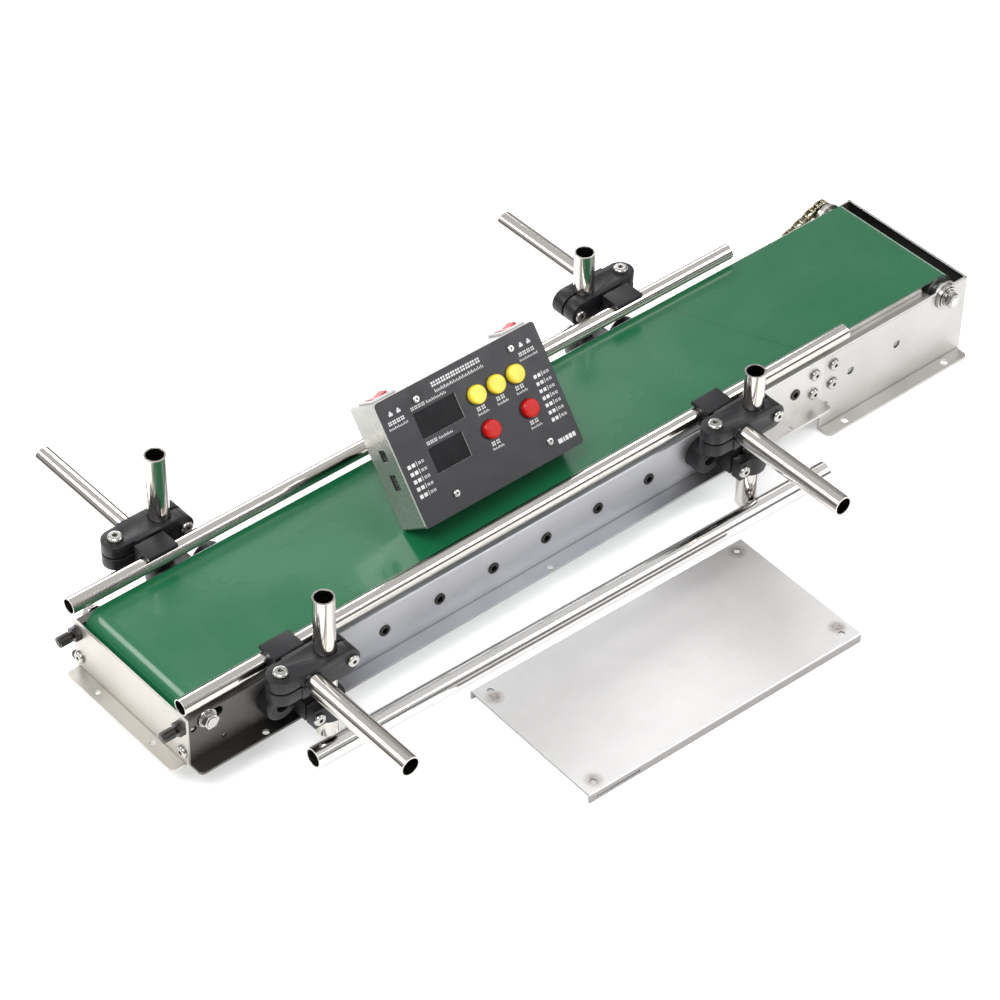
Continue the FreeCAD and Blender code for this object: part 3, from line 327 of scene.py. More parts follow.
def edge_effect():
    """Rounds the shading of sharp edges and marks where they are."""
    tree, start, end = new_group(
        "Worn edge", [("Float", "Radius", 0.4 * MM)],
        [("Float", "Edge"), ("Vector", "Normal")])
    bevel = tree.nodes.new("ShaderNodeBevel")
    bevel.samples = 4
    tree.links.new(start.outputs["Radius"], bevel.inputs["Radius"])
    surface = tree.nodes.new("ShaderNodeNewGeometry")
    dot = tree.nodes.new("ShaderNodeVectorMath")
    dot.operation = "DOT_PRODUCT"
    tree.links.new(bevel.outputs["Normal"], dot.inputs[0])
    tree.links.new(surface.outputs["Normal"], dot.inputs[1])
    tree.links.new(remap(tree, dot.outputs["Value"], 0.995, 0.80), end.inputs["Edge"])
    tree.links.new(bevel.outputs["Normal"], end.inputs["Normal"])
    return tree


def crevice_shade_effect():
    """Marks recesses and tight corners, where light doesn't reach, for painted shade."""
    tree, start, end = new_group(
        "Crevice", [("Float", "Reach", CREVICE_REACH)], [("Float", "Mask")])
    shade = tree.nodes.new("ShaderNodeAmbientOcclusion")
    shade.samples = 6
    tree.links.new(start.outputs["Reach"], shade.inputs["Distance"])
    tree.links.new(remap(tree, shade.outputs["AO"], 0.80, 0.25), end.inputs["Mask"])
    return tree


def facing_effect():
    """How far the surface faces a direction: 1 towards it, 0 across it, negative away from it."""
    tree, start, end = new_group(
        "Facing", [("Vector", "Direction", (0, 0, 1))], [("Float", "Facing")])
    surface = tree.nodes.new("ShaderNodeNewGeometry")
    dot = tree.nodes.new("ShaderNodeVectorMath")
    dot.operation = "DOT_PRODUCT"
    tree.links.new(surface.outputs["True Normal"], dot.inputs[0])
    tree.links.new(start.outputs["Direction"], dot.inputs[1])
    tree.links.new(dot.outputs["Value"], end.inputs["Facing"])
    return tree


def speckle_effect():
    """Fine texture of moulded plastic or paint."""
    tree, start, end = new_group(
        "Speckle", [("Vector", "Vector", (0, 0, 0)), ("Float", "Scale", 1800.0)],
        [("Float", "Height")])
    texture = tree.nodes.new("ShaderNodeTexNoise")
    texture.inputs["Detail"].default_value = 3.0
    tree.links.new(start.outputs["Vector"], texture.inputs["Vector"])
    tree.links.new(start.outputs["Scale"], texture.inputs["Scale"])
    tree.links.new(texture.outputs["Fac"], end.inputs["Height"])
    return tree


EFFECTS = {}


def use_effect(material, name, **values):
    """Places a shared effect in a material; object coordinates go to its Vector socket."""
    tree = material.node_tree
    node = tree.nodes.new("ShaderNodeGroup")
    node.node_tree = EFFECTS[name]
    node.label = name
    if "Vector" in node.inputs:
        tree.links.new(object_place(material), node.inputs["Vector"])
    for label, value in values.items():
        node.inputs[label].default_value = value
    return node


def object_place(material):
    """Object coordinates, one node per material."""
    tree = material.node_tree
    node = tree.nodes.get("Place") or tree.nodes.new("ShaderNodeTexCoord")
    node.name = "Place"
    return node.outputs["Object"]


def new_material(name, metallic=0.0, **shader):
    """A material with its Principled shader's plain sockets set."""
    material = bpy.data.materials.new(name)
    material.use_nodes = True
    bsdf = material.node_tree.nodes["Principled BSDF"]
    bsdf.inputs["Metallic"].default_value = metallic
    for label, value in shader.items():
        bsdf.inputs[label.replace("_", " ")].default_value = value
    return material, material.node_tree, bsdf


def rgba(colour, gain=1.0):
    return (colour[0] * gain, colour[1] * gain, colour[2] * gain, 1.0)


def bump_into(tree, bsdf, height, strength, distance, normal=None):
    bump = tree.nodes.new("ShaderNodeBump")
    bump.inputs["Strength"].default_value = strength
    bump.inputs["Distance"].default_value = distance
    tree.links.new(height, bump.inputs["Height"])
    if normal is not None:
        tree.links.new(normal, bump.inputs["Normal"])
    tree.links.new(bump.outputs["Normal"], bsdf.inputs["Normal"])


# ---- finishes ----
def metal_finish(name, colour, rough, cloud_scale, stretch, grain_scale, edge,
                 dirt=0.80, bump=0.05, reach=CREVICE_REACH):
    """Bare metal with rolled or drawn grain, cloudy handling marks and bright edges.

    rough is the roughness from clean to cloudy, dirt the shade of the clouds, and reach the
    size of a recess that is darkened as painted shade.
    """
    streak_share, streak_shade = 0.35, 0.88
    edge_share, edge_gain = 0.6, 1.12
    recess_share, recess_shade = 0.85, 0.10
    material, tree, bsdf = new_material(name, metallic=1.0)
    grain = use_effect(material, "Grain", Stretch=stretch, Scale=grain_scale).outputs["Streaks"]
    cloud = use_effect(material, "Smudges", Scale=cloud_scale).outputs["Cloud"]
    rim = use_effect(material, "Worn edge", Radius=edge)
    body = mix_colour(tree, cloud, rgba(colour), rgba(colour, dirt))
    streaks = math_node(tree, "MULTIPLY", grain, streak_share)
    streaked = mix_colour(tree, streaks, body, rgba(colour, streak_shade))
    bright = tuple(min(1.0, c * edge_gain) for c in colour)
    rubbed = math_node(tree, "MULTIPLY", rim.outputs["Edge"], edge_share)
    edged = mix_colour(tree, rubbed, streaked, rgba(bright))
    # Painted shade: the colour goes darker in recesses and tight corners, where light doesn't
    # reach.
    recess = use_effect(material, "Crevice", Reach=reach).outputs["Mask"]
    shaded = math_node(tree, "MULTIPLY", recess, recess_share)
    deep = mix_colour(tree, shaded, edged, rgba(colour, recess_shade))
    tree.links.new(deep, bsdf.inputs["Base Color"])
    blend = math_node(tree, "ADD", math_node(tree, "MULTIPLY", cloud, 1.0 - streak_share),
                      math_node(tree, "MULTIPLY", grain, streak_share))
    tree.links.new(remap(tree, blend, 0.0, 1.0, *rough), bsdf.inputs["Roughness"])
    bump_into(tree, bsdf, grain, bump, 0.02 * MM, rim.outputs["Normal"])
    return material


def plastic_finish(name, colour, rough, speckle, edge,
                   bump=0.12, wear=1.6, coat=0.0, shine=0.5):
    """Moulded or painted surface with fine texture and slightly rubbed edges.

    speckle is the scale of the texture, wear the gain of rubbed edges, coat the weight of a
    clear layer, and shine the specular level.
    """
    cloud_scale, cloud_shade = 60.0, 0.78
    edge_share, edge_lift = 0.55, 0.004
    recess_share, recess_shade = 0.6, 0.25
    material, tree, bsdf = new_material(
        name, Coat_Weight=coat, Coat_Roughness=0.12, Specular_IOR_Level=shine)
    height = use_effect(material, "Speckle", Scale=speckle).outputs["Height"]
    cloud = use_effect(material, "Smudges", Scale=cloud_scale).outputs["Cloud"]
    rim = use_effect(material, "Worn edge", Radius=edge)
    body = mix_colour(tree, cloud, rgba(colour), rgba(colour, cloud_shade))
    bright = tuple(min(1.0, c * wear + edge_lift) for c in colour)
    rubbed = math_node(tree, "MULTIPLY", rim.outputs["Edge"], edge_share)
    edged = mix_colour(tree, rubbed, body, rgba(bright))
    # Painted shade: the colour goes darker in recesses and tight corners, where light doesn't
    # reach.
    recess = use_effect(material, "Crevice", Reach=CREVICE_REACH).outputs["Mask"]
    shaded = math_node(tree, "MULTIPLY", recess, recess_share)
    deep = mix_colour(tree, shaded, edged, rgba(colour, recess_shade))
    tree.links.new(deep, bsdf.inputs["Base Color"])
    tree.links.new(remap(tree, cloud, 0.0, 1.0, *rough), bsdf.inputs["Roughness"])
    bump_into(tree, bsdf, height, bump, 0.04 * MM, rim.outputs["Normal"])
    return material


def tint(material, mask, colour):
    """Lays another base colour over a finish where the mask is 1."""
    tree = material.node_tree
    socket = tree.nodes["Principled BSDF"].inputs["Base Color"]
    plain = socket.links[0].from_socket
    tree.links.new(mix_colour(tree, mask, plain, rgba(colour)), socket)


def facing_mask(material, direction, low, high):
    """A mask that rises from 0 to 1 as the surface's facing goes from low to high."""
    facing = use_effect(material, "Facing", Direction=direction).outputs["Facing"]
    return remap(material.node_tree, facing, low, high)


def split_place(material):
    """Object coordinates as separate X, Y and Z outputs."""
    split = material.node_tree.nodes.new("ShaderNodeSeparateXYZ")
    material.node_tree.links.new(object_place(material), split.inputs[0])
    return split.outputs


def end_plate_finish(colour, edge):
    """Sheet steel whose inner side, next to the belt's turn, is made black as painted shade."""
    material = metal_finish(
        "End plate", colour, (0.36, 0.46), 12.0, ALONG_Y, ROLLED, edge, dirt=0.92)
    # Painted shade: the inner side, facing the belt's turn, is made black where light doesn't
    # reach inside the drive end.
    tint(material, facing_mask(material, (-1, 0, 0), 0.5, 0.8), END_PLATE_INNER_SHADE)
    return material


def tail_sheet_finish(colour, edge):
    """Long panels: dull, with painted shade darkening them at the tail and a painted reflection
    lightening them towards the joint with the drive unit.
    """
    material = metal_finish(
        "Tail sheet", colour, (0.38, 0.50), 9.0, ALONG_X, ROLLED, edge, dirt=0.88)
    tree = material.node_tree
    along = split_place(material)["X"]
    uneven = math_node(tree, "MULTIPLY", noise(tree, object_place(material), 9.0), 0.08)
    drift = math_node(tree, "ADD", along, uneven)
    # Painted shade: the panels get darker towards the tail.
    tint(material, remap(tree, drift, *TAIL_PAINTED_SHADE_FADE), TAIL_PAINTED_SHADE)
    # Painted reflection: the panels get lighter towards the joint with the drive unit.
    tint(material, remap(tree, drift, *JOINT_PAINTED_REFLECTION_FADE), JOINT_PAINTED_REFLECTION)
    return material


def panel_finish(colour, tilt, edge):
    """Printed film on a plate whose cut edges are bare metal."""
    material = plastic_finish("Panel film", colour, (0.32, 0.42), 3000.0, edge, bump=0.05)
    front = (0.0, -math.sin(tilt), math.cos(tilt))
    tint(material, facing_mask(material, front, 0.75, 0.35), CUT_METAL)
    return material


def belt_finish(colour):
    """Glossy PVC with a faint press weave, a slanted splice and raw edges."""
    scuff_share, cloud_gain = 0.05, 1.08
    splice_share, splice_shade = 0.55, 0.5
    material, tree, bsdf = new_material("Belt PVC", Coat_Weight=0.35, Coat_Roughness=0.10)
    place = split_place(material)
    cloud = use_effect(material, "Smudges", Scale=7.0).outputs["Cloud"]
    fine = use_effect(material, "Speckle", Scale=900.0).outputs["Height"]
    grain = use_effect(
        material, "Grain", Stretch=(0.03, 1.0, 1.0), Scale=500.0).outputs["Streaks"]
    body = mix_colour(tree, cloud, rgba(colour), rgba(colour, cloud_gain))
    scuffs = math_node(tree, "MULTIPLY", grain, scuff_share)
    scuffed = mix_colour(tree, scuffs, body, rgba(SCUFF))
    slant = math_node(tree, "ADD", place["X"],
                      math_node(tree, "MULTIPLY", place["Y"], SPLICE_SLANT))
    off = math_node(tree, "ABSOLUTE", math_node(tree, "SUBTRACT", slant, SPLICE_AT))
    splice = remap(tree, off, *SPLICE_FADE)
    shown = math_node(tree, "MULTIPLY", splice, splice_share)
    spliced = mix_colour(tree, shown, scuffed, rgba(colour, splice_shade))
    raw = remap(tree, math_node(tree, "ABSOLUTE", place["Y"]), *RAW_EDGE_FADE)
    edged = mix_colour(tree, raw, spliced, rgba(RAW_BELT))
    tree.links.new(edged, bsdf.inputs["Base Color"])
    tree.links.new(remap(tree, cloud, 0.0, 1.0, 0.20, 0.34), bsdf.inputs["Roughness"])
    height = math_node(tree, "SUBTRACT", math_node(tree, "MULTIPLY", fine, 0.2), splice)
    bump_into(tree, bsdf, height, 0.2, 0.05 * MM)
    return material


def cover_finish(colour, edge):
    """Cover sheet: cloudy ground face with small brown stains round its corner holes, made darker
    over the holes' edges as painted shade, and side faces darkened as painted shade.
    """
    material = metal_finish("Cover sheet", colour, (0.42, 0.55), 9.0, (0.03, 1.0, 1.0), CAST,
                            edge, dirt=0.86, bump=0.10)
    tree = material.node_tree
    low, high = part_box("cover_plate")
    inset_x, inset_y = COVER_HOLE_INSET
    total = None
    for x in (low[0] + inset_x, high[0] - inset_x):
        for y in (low[1] + inset_y, high[1] - inset_y):
            gap = tree.nodes.new("ShaderNodeVectorMath")
            gap.operation = "DISTANCE"
            gap.inputs[1].default_value = (x, y, high[2])
            tree.links.new(object_place(material), gap.inputs[0])
            spot = remap(tree, gap.outputs["Value"], *HOLE_STAIN_SHADE_FADE)
            total = spot if total is None else math_node(tree, "MAXIMUM", total, spot)
    mark = math_node(tree, "MULTIPLY", total, noise(tree, object_place(material), 420.0))
    # Brown at the holes: partly a real stain, partly painted shade darkening the holes' edges.
    tint(material, math_node(tree, "MULTIPLY", mark, 1.1, clamp=True), HOLE_STAIN_SHADE_BROWN)
    # Painted shade: the cover's side faces are made darker than its lit top.
    tint(material, facing_mask(material, (0, 0, 1), 0.6, 0.2), COVER_SIDE_SHADE)
    return material


def board_finish(colour):
    """Solder mask with copper tracks showing through."""
    material, tree, bsdf = new_material("Circuit board")
    bricks = tree.nodes.new("ShaderNodeTexBrick")
    bricks.inputs["Scale"].default_value = 220.0
    bricks.inputs["Mortar Size"].default_value = 0.05
    bricks.inputs["Color1"].default_value = rgba(colour)
    bricks.inputs["Color2"].default_value = rgba(colour, 0.8)
    bricks.inputs["Mortar"].default_value = rgba(COPPER)
    tree.links.new(object_place(material), bricks.inputs["Vector"])
    tree.links.new(bricks.outputs["Color"], bsdf.inputs["Base Color"])
    cloud = use_effect(material, "Smudges", Scale=50.0).outputs["Cloud"]
    tree.links.new(remap(tree, cloud, 0.0, 1.0, 0.25, 0.45), bsdf.inputs["Roughness"])
    return material


def floor_finish(colour):
    """Pale floor with a little light of its own, so that it stays even."""
    material, tree, bsdf = new_material(
        "Studio floor", Roughness=0.7, Emission_Color=(1, 1, 1, 1), Emission_Strength=0.42)
    cloud = use_effect(material, "Smudges", Scale=1.5).outputs["Cloud"]
    body = mix_colour(tree, cloud, rgba(colour), rgba(colour, 0.99))
    tree.links.new(body, bsdf.inputs["Base Color"])
    return material


FINISH_OF = {
    "sheet": ("drive_panel_near", "drive_panel_far", "splice_plates", "slider_bed",
              "motor_bracket", "tail_foot"),
    "end plate": ("drive_end_plate",),
    "tail sheet": ("side_panel_near", "side_panel_far"),
    "tail plate": ("tail_plate",),
    "box sheet": ("controller_box", "controller_stand"),
    "cover": ("cover_plate",),
    "tube": ("guide_rail_near", "guide_rail_far"),
    "rod": ("cross_rods_near", "cross_rods_far"),
    "post": ("posts",),
    "spare": ("spare_tube",),
    "screw": ("frame_screws", "tail_axle", "axle_nuts", "shaft_nut", "bracket_bolts",
              "clamp_screws_near", "clamp_screws_far", "face_screws", "drive_bearings"),
    "dark screw": ("tension_bolts", "rivet_nuts"),
    "belt": ("belt",),
    "panel": ("face_plate",),
    "yellow": ("yellow_button_1", "yellow_button_2", "yellow_button_3"),
    "red": ("red_button_1", "red_button_2", "rocker_left", "rocker_right"),
    "window": ("display_windows",),
    "board": ("circuit_board",),
    "alloy": ("tail_roller", "drive_roller", "gearbox", "cross_members"),
    "chain": ("drive_sprocket", "motor_sprocket", "drive_chain"),
    "black steel": ("motor", "tail_bearings"),
    "grey plastic": ("side_connectors",),
    "light plastic": ("rocker_housings",),
}
MOULDED = ("base_brackets_near", "base_brackets_far", "cross_clamps_near", "cross_clamps_far",
           "rail_clips_near", "rail_clips_far")
FINISHES = {}


def polished_tube(name, colour, cloud_scale, stretch, edge, dull=0.18, dirt=0.93):
    """Bright drawn tube whose grain runs along it."""
    return metal_finish(
        name, colour, (0.10, dull), cloud_scale, stretch, DRAWN, edge, dirt=dirt, bump=0.03)


def turned_metal(name, colour, rough, cloud_scale, edge, **options):
    """Small turned or pressed part, whose grain has no direction."""
    return metal_finish(name, colour, rough, cloud_scale, EVEN, TURNED, edge, **options)


def make_finishes(colours, size):
    """Every finish by its short name."""
    edge = size.sheet_edge
    glossy, moulded, dark = (0.20, 0.28), (0.38, 0.50), (0.25, 0.35)
    return {
        "sheet": metal_finish("Sheet steel", colours.sheet, (0.36, 0.46), 12.0, ALONG_X,
                              ROLLED, edge, dirt=0.92),
        "tail sheet": tail_sheet_finish(colours.tail_sheet, edge),
        "tail plate": metal_finish("Tail plate", colours.tail_plate, (0.40, 0.50), 9.0,
                                   ALONG_Y, ROLLED, edge, dirt=0.92),
        "end plate": end_plate_finish(colours.sheet, edge),
        "box sheet": metal_finish("Box sheet", colours.box_sheet, (0.22, 0.34), 20.0,
                                  ALONG_X, ROLLED, edge, dirt=0.90),
        "cover": cover_finish(colours.cover_sheet, edge),
        "tube": polished_tube("Polished rail", colours.tube, 40.0, ALONG_X, edge),
        "rod": polished_tube("Polished rod", colours.tube, 40.0, ALONG_Y, edge),
        "post": polished_tube("Polished post", colours.tube, 40.0, ALONG_Z, edge),
        "spare": polished_tube("Spare tube", colours.spare, 30.0, ALONG_X, edge,
                               dull=0.19, dirt=0.92),
        # Its wider reach gives the screw sockets more painted shade.
        "screw": turned_metal("Bright screw", colours.screw, (0.16, 0.30), 300.0, edge,
                              reach=3.0 * MM),
        "dark screw": turned_metal("Dark bolt", colours.dark_screw, (0.24, 0.38), 300.0, edge),
        "belt": belt_finish(colours.belt),
        "nylon": plastic_finish("Moulded nylon", colours.nylon, (0.34, 0.46), 2200.0, edge,
                                shine=0.32),
        "panel": panel_finish(colours.panel, size.panel_tilt, edge),
        "ink": plastic_finish("Panel ink", colours.ink, (0.45, 0.55), 3000.0, PRINT_EDGE,
                              bump=0.02, wear=1.0),
        "segment": plastic_finish("Unlit segment", colours.segment, dark, 3000.0, PRINT_EDGE,
                                  bump=0.02, shine=0.15),
        "yellow": plastic_finish("Yellow key", colours.yellow, glossy, 1500.0, edge,
                                 bump=0.03, wear=1.05, coat=0.3),
        "red": plastic_finish("Red key", colours.red, glossy, 1500.0, edge,
                              bump=0.03, wear=1.15, shine=0.3),
        "window": plastic_finish("Smoked window", colours.window, dark, 1500.0, edge,
                                 bump=0.01, wear=1.2, shine=0.15),
        "board": board_finish(colours.board),
        "alloy": metal_finish("Alloy", colours.alloy, (0.28, 0.42), 30.0, ALONG_Y, CAST, edge),
        # Its wider reach gives the chain's gaps more painted shade.
        "chain": turned_metal("Chain steel", colours.chain, (0.22, 0.38), 200.0, edge,
                              reach=2.5 * MM),
        "light plastic": plastic_finish("Light plastic", colours.light_plastic, moulded,
                                        2000.0, edge),
        "black steel": plastic_finish("Black steel", colours.black_steel, (0.30, 0.45),
                                      1200.0, edge, bump=0.08, wear=2.4),
        "grey plastic": plastic_finish("Grey plastic", colours.grey_plastic, moulded,
                                       2000.0, edge),
        "floor": floor_finish(colours.floor),
    }


# ---- modelling helpers ----
def deselect_all():
    if bpy.context.object and bpy.context.object.mode != "OBJECT":
        bpy.ops.object.mode_set(mode="OBJECT")
    bpy.ops.object.select_all(action="DESELECT")


def pick(*objects):
    """Selects these objects only; the first is active."""
    deselect_all()
    for o in objects:
        o.select_set(True)
    bpy.context.view_layer.objects.active = objects[0]


def dress(o, finish):
    """Gives a new piece one finish."""
    o.data.materials.clear()
    o.data.materials.append(FINISHES[finish])


def add_block(name, low, high):
    """A block between two corners, as a new object."""
    deselect_all()
    middle = [(a + b) / 2 for a, b in zip(low, high)]
    bpy.ops.mesh.primitive_cube_add(size=1.0, location=middle)
    o = bpy.context.object
    o.name = name
    o.scale = [b - a for a, b in zip(low, high)]
    bpy.ops.object.transform_apply(location=True, rotation=True, scale=True)
    return o


def join_pieces(name, pieces):
    """Joins new pieces into the first and names it."""
    pick(*pieces)
    bpy.ops.object.join()
    o = bpy.context.object
    o.name = name
    o.data.name = name
    return o


def apply_modifiers(o):
    pick(o)
    for modifier in list(o.modifiers):
        bpy.ops.object.modifier_apply(modifier=modifier.name)


def moulded_copy(node, edge):
    """A copy of a moulded part's shape with rounded edges, which stands for the plain one."""
    source = NODES[node]
    o = source.copy()
    o.data = source.data.copy()
    o.name = "moulded_" + node
    o.parent = None
    o.matrix_world = Matrix.Identity(4)
    for key in [k for k in o.keys() if k.startswith("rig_")]:
        del o[key]  # the copy is a new piece, not a part of the frame
    bpy.context.scene.collection.objects.link(o)
    pick(o)
    bpy.ops.object.mode_set(mode="EDIT")
    bpy.ops.mesh.select_all(action="SELECT")
    bpy.ops.mesh.remove_doubles(threshold=WELD)
    bpy.ops.mesh.dissolve_limited(angle_limit=FLAT_WITHIN)
    bpy.ops.object.mode_set(mode="OBJECT")
    bevel = o.modifiers.new("Edge", "BEVEL")
    bevel.width = edge
    bevel.segments = 3
    bevel.limit_method = "ANGLE"
    bevel.angle_limit = ROUNDED_OVER
    apply_modifiers(o)
    bpy.ops.object.shade_smooth_by_angle(angle=SMOOTH_UNDER)
    return o


# ---- control panel print ----
class PanelPlane:
    """The front of the control panel: millimetres across and up from its lower left corner."""

    def __init__(self, tilt):
        corner = (FACE_LOW[0], FACE_LOW[1], FACE_LOW[2] + FACE_THICK * math.cos(tilt))
        self.matrix = Matrix.Translation(corner) @ Matrix.Rotation(tilt, 4, "X")

    def block(self, across, up, width, height, low, high):
        """A mark laid flat, in metres, still to be turned into the plane."""
        return add_block("mark", (across * MM, up * MM, low),
                         ((across + width) * MM, (up + height) * MM, high))

    def settle(self, o):
        """Turns a finished drawing into the panel's plane."""
        o.data.transform(self.matrix)
        o.data.update()


def dash_row(across, up, widths, height, gap=1.0):
    """Marks of the given widths side by side: (across, up, width, height) each."""
    marks = []
    for width in widths:
        marks.append((across, up, width, height))
        across += width + gap
    return marks


def quad_row(across, up, count, size, pitch):
    """A row of signs, each four small squares."""
    marks = []
    cell = size * 0.42
    for k in range(count):
        left = across + k * pitch
        for step in (0.0, size - cell):
            marks.append((left + step, up, cell, cell))
            marks.append((left + size - cell - step, up + size - cell, cell, cell))
    return marks


def tick_row(across, up, count, height, pitch=1.3):
    """Thin upright strokes of varied height."""
    stroke = 0.6
    heights = (1.0, 0.62, 0.8, 0.62, 1.0, 0.7)
    return [(across + k * pitch, up, stroke, height * heights[k % len(heights)])
            for k in range(count)]


def panel_marks():
    """Generic printed marks: squares, dashes and strokes in place of words.

    Rows start with their place in millimetres, across and up from the panel's lower left corner.
    """
    line_pitch = 5.6
    heading = quad_row(49, 87.5, 10, 3.6, 4.5) + tick_row(50, 83.0, 32, 2.6, 1.4)
    window_labels = quad_row(26, 79.2, 4, 2.5, 3.3) + tick_row(40, 79.2, 14, 2.2)
    window_labels += quad_row(27, 52.3, 3, 2.5, 3.3) + tick_row(38, 52.3, 10, 2.2)
    button_labels = []
    for across, up in ((79.5, 68.0), (97.5, 68.0), (115.5, 68.0), (79.5, 41.0), (115.5, 41.0)):
        button_labels += quad_row(across - 4.0, up - 11.6, 2, 3.0, 4.2)
        button_labels += tick_row(across - 4.6, up - 14.8, 8, 2.0)
    switch_labels = []
    for left, base in ((4, 71.0), (124, 71.0)):
        switch_labels += dash_row(left + 4, base + 12.0, (3.4, 3.4), 2.0, 3.6)
        switch_labels += dash_row(left + 4.9, base + 14.0, (1.6, 1.6), 1.4, 5.4)
        switch_labels += quad_row(left + 1, base + 6.0, 4, 2.8, 3.7)
        switch_labels += tick_row(left, base + 2.6, 13, 1.8)
    tables = []
    for k in range(5):
        tables += dash_row(5, 21.0 + line_pitch * k, (2.8, 2.8), 2.8)
        tables += dash_row(12.8, 20.6 + line_pitch * k, (0.5,), 4.0)
        tables += quad_row(14.6, 21.3 + line_pitch * k, 2, 2.0, 2.8)
    for k in range(7):
        tables += dash_row(129, 24.0 + line_pitch * k, (2.6, 2.6), 2.6)
        tables += dash_row(136.4, 23.6 + line_pitch * k, (0.5,), 3.8)
        tables += quad_row(138, 24.2 + line_pitch * k, 2, 2.0, 2.8)
    corner_label = dash_row(127, 7.4, (4.0, 1.4, 2.6, 2.6, 2.6), 3.4, 0.7)
    return heading + window_labels + button_labels + switch_labels + tables + corner_label


def window_segments(low_across, low_up, width, height, digits):
    """Unlit seven-segment digits laid out over a window, each with its point."""
    marks = []
    pitch = width / (digits + 0.4)
    wide, thick = pitch * 0.62, 1.5
    tall = height * 0.66
    base = low_up + (height - tall) / 2
    for k in range(digits):
        left = low_across + pitch * (k + 0.42)
        for level in range(3):
            up = base + level * (tall - thick) / 2
            marks.append((left + thick, up, wide - 2 * thick, thick))
        for half in range(2):
            upper = base + half * (tall - thick) / 2 + thick * 0.75
            for side in (left, left + wide - thick):
                marks.append((side, upper, thick, (tall - thick) / 2 - thick * 0.5))
        marks.append((left + wide + 0.5, base, thick * 0.8, thick * 0.8))
    return marks


def print_on_panel(name, marks, low, high, tilt, finish, round_by):
    """One piece of raised marks between two heights over the panel's front."""
    plane = PanelPlane(tilt)
    o = join_pieces(name, [plane.block(*mark, low, high) for mark in marks])
    bevel = o.modifiers.new("Corner", "BEVEL")
    bevel.width = round_by
    bevel.segments = 2
    bevel.limit_method = "WEIGHT"
    weights = o.data.attributes.new("bevel_weight_edge", "FLOAT", "EDGE")
    for edge in o.data.edges:
        a, b = (o.data.vertices[i].co for i in edge.vertices)
        weights.data[edge.index].value = 1.0 if abs(a.z - b.z) > LEVEL else 0.0
    apply_modifiers(o)
    plane.settle(o)
    dress(o, finish)
    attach(o, "controller")


# ---- operators ----
class CONVEYOR_OT_finishes(bpy.types.Operator):
    """Make the finishes and give every shown part its own"""

    bl_idname = "conveyor.finishes"
    bl_label = "Finishes"

    def execute(self, context):
        for make in (grain_effect, smudge_effect, edge_effect, crevice_shade_effect, facing_effect,
                     speckle_effect):
            effect = make()
            EFFECTS[effect.name] = effect
        scene = context.scene
        FINISHES.update(make_finishes(scene.conveyor_colours, scene.conveyor_sizes))
        for finish, names in FINISH_OF.items():
            for name in names:
                for slot in NODES[name].material_slots:
                    slot.material = FINISHES[finish]
        return {"FINISHED"}


class CONVEYOR_OT_moulded_parts(bpy.types.Operator):
    """Model the nylon clamps, brackets and clips with rounded edges"""

    bl_idname = "conveyor.moulded_parts"
    bl_label = "Moulded parts"

    def execute(self, context):
        for node in MOULDED:
            o = moulded_copy(node, context.scene.conveyor_sizes.moulded_edge)
            dress(o, "nylon")
            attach(o, body_of(NODES[node])[0])
            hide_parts(node)
        return {"FINISHED"}


class CONVEYOR_OT_panel_print(bpy.types.Operator):
    """Print the control panel with generic marks and fit its unlit digits"""

    bl_idname = "conveyor.panel_print"
    bl_label = "Panel print"

    def execute(self, context):
        size = context.scene.conveyor_sizes
        print_on_panel("panel_print", panel_marks(), 0.0, size.ink_height, size.panel_tilt,
                       "ink", MARK_CORNER)
        segments = [mark for window in WINDOWS
                    for mark in window_segments(*window, WINDOW_DIGITS)]
        print_on_panel("window_segments", segments, DIGITS_LOW, DIGITS_HIGH, size.panel_tilt,
                       "segment", DIGIT_CORNER)
        return {"FINISHED"}


def add_area_light(name, place, aim, size, power):
    deselect_all()
    bpy.ops.object.light_add(type="AREA", location=place)
    light = bpy.context.object
    light.name = name
    light.rotation_euler = (Vector(aim) - Vector(place)).to_track_quat("-Z", "Y").to_euler()
    light.data.shape = "RECTANGLE"
    light.data.size, light.data.size_y = size
    light.data.energy = power


def set_sky(strength):
    """Surrounding light: bright above, with a dark band near the horizon and a softer one
    higher up that give metal its contrast."""
    world = bpy.data.worlds.new("Studio")
    bpy.context.scene.world = world
    world.use_nodes = True
    tree = world.node_tree
    background = tree.nodes["Background"]
    place = tree.nodes.new("ShaderNodeTexCoord")
    split = tree.nodes.new("ShaderNodeSeparateXYZ")
    ramp = tree.nodes.new("ShaderNodeValToRGB")
    tree.links.new(place.outputs["Generated"], split.inputs[0])
    tree.links.new(remap(tree, split.outputs["Z"], -1.0, 1.0), ramp.inputs["Fac"])
    tree.links.new(ramp.outputs["Color"], background.inputs["Color"])
    stops = ramp.color_ramp.elements
    stops[0].position, stops[0].color = 0.0, (SKY_BELOW, SKY_BELOW, SKY_BELOW, 1)
    stops[1].position, stops[1].color = 1.0, (SKY_ABOVE, SKY_ABOVE, SKY_ABOVE, 1)
    for position, level in SKY_STOPS:
        stop = stops.new(position)
        stop.color = (level, level, level, 1)
    background.inputs["Strength"].default_value = strength


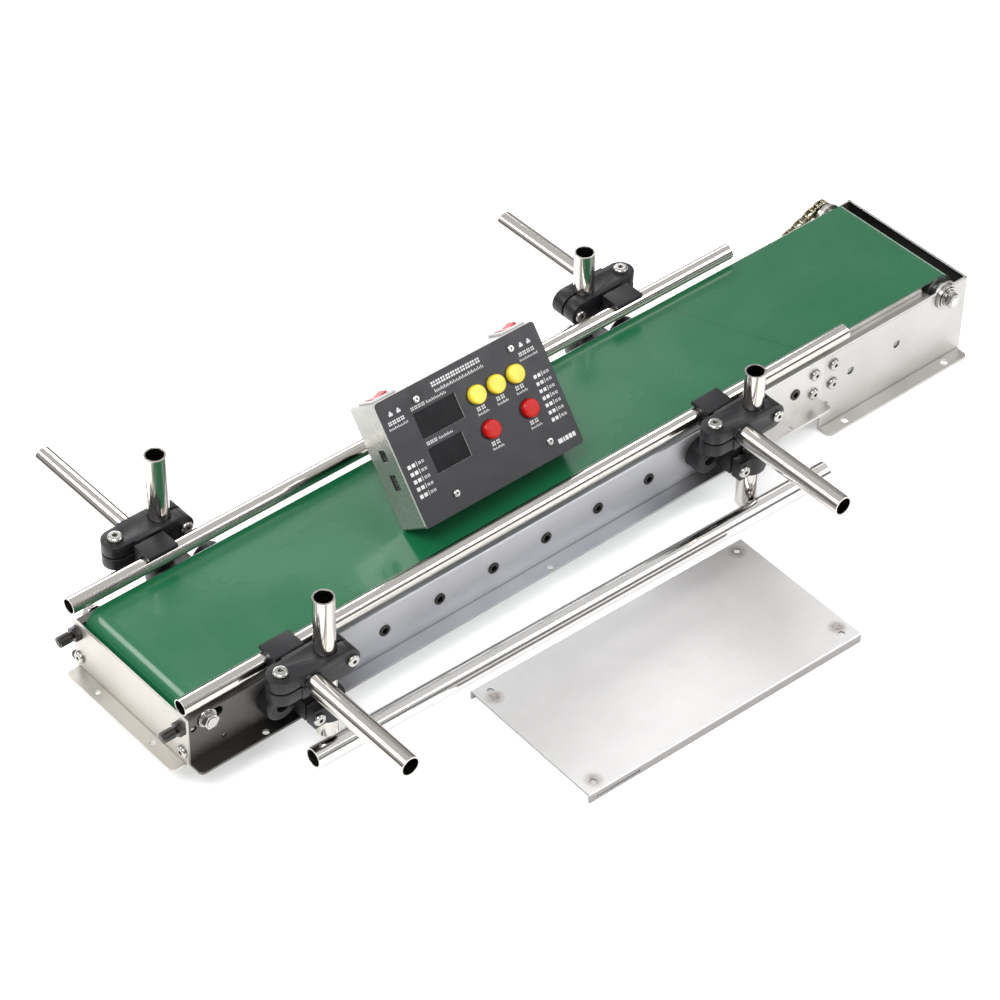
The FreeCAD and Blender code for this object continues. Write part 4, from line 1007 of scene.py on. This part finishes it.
class CONVEYOR_OT_stage(bpy.types.Operator):
    """Set the floor, the lights and the camera"""

    bl_idname = "conveyor.stage"
    bl_label = "Stage"

    def execute(self, context):
        studio = context.scene.conveyor_studio
        deselect_all()
        bpy.ops.mesh.primitive_plane_add(size=FLOOR_WIDTH, location=(0, 0, FLOOR_Z - FLOOR_DROP))
        floor = bpy.context.object
        floor.name = "floor"
        bpy.ops.object.transform_apply(location=True, rotation=True, scale=True)
        dress(floor, "floor")
        for name, place, aim, size, power in LIGHTS:
            add_area_light(name, place, aim, size, getattr(studio, power))
        set_sky(studio.sky)
        deselect_all()
        bpy.ops.object.camera_add(location=studio.place)
        camera = bpy.context.object
        forward = Vector((math.cos(studio.dip) * math.cos(studio.heading),
                          math.cos(studio.dip) * math.sin(studio.heading), -math.sin(studio.dip)))
        right = forward.cross(Vector((0, 0, 1))).normalized()
        up = right.cross(forward)
        turn, lift = math.cos(studio.roll), math.sin(studio.roll)
        rolled = (right * turn + up * lift, up * turn - right * lift, -forward)
        camera.rotation_euler = Matrix(rolled).transposed().to_euler()
        camera.data.lens = studio.lens
        camera.data.shift_x, camera.data.shift_y = studio.shift
        camera.data.clip_end = 100.0
        context.scene.camera = camera
        context.scene.view_settings.view_transform = "Standard"
        return {"FINISHED"}


class CONVEYOR_PT_panel(bpy.types.Panel):
    """Lists the steps that dress the conveyor"""

    bl_idname = "CONVEYOR_PT_panel"
    bl_label = "Belt conveyor"
    bl_space_type = "VIEW_3D"
    bl_region_type = "UI"
    bl_category = "Conveyor"

    def draw(self, context):
        for step in STEPS:
            self.layout.operator(step.bl_idname)


STEPS = (CONVEYOR_OT_finishes, CONVEYOR_OT_moulded_parts, CONVEYOR_OT_panel_print,
         CONVEYOR_OT_stage)
GROUPS = (ConveyorColours, ConveyorSizes, ConveyorStudio)


def register():
    for cls in GROUPS + STEPS + (CONVEYOR_PT_panel,):
        bpy.utils.register_class(cls)
    bpy.types.Scene.conveyor_colours = bpy.props.PointerProperty(type=ConveyorColours)
    bpy.types.Scene.conveyor_sizes = bpy.props.PointerProperty(type=ConveyorSizes)
    bpy.types.Scene.conveyor_studio = bpy.props.PointerProperty(type=ConveyorStudio)


def unregister():
    del bpy.types.Scene.conveyor_studio
    del bpy.types.Scene.conveyor_sizes
    del bpy.types.Scene.conveyor_colours
    for cls in reversed(GROUPS + STEPS + (CONVEYOR_PT_panel,)):
        bpy.utils.unregister_class(cls)


def main():
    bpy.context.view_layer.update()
    register()
    bpy.ops.conveyor.finishes()
    bpy.ops.conveyor.moulded_parts()
    bpy.ops.conveyor.panel_print()
    bpy.ops.conveyor.stage()


if __name__ == "__main__":
    main()
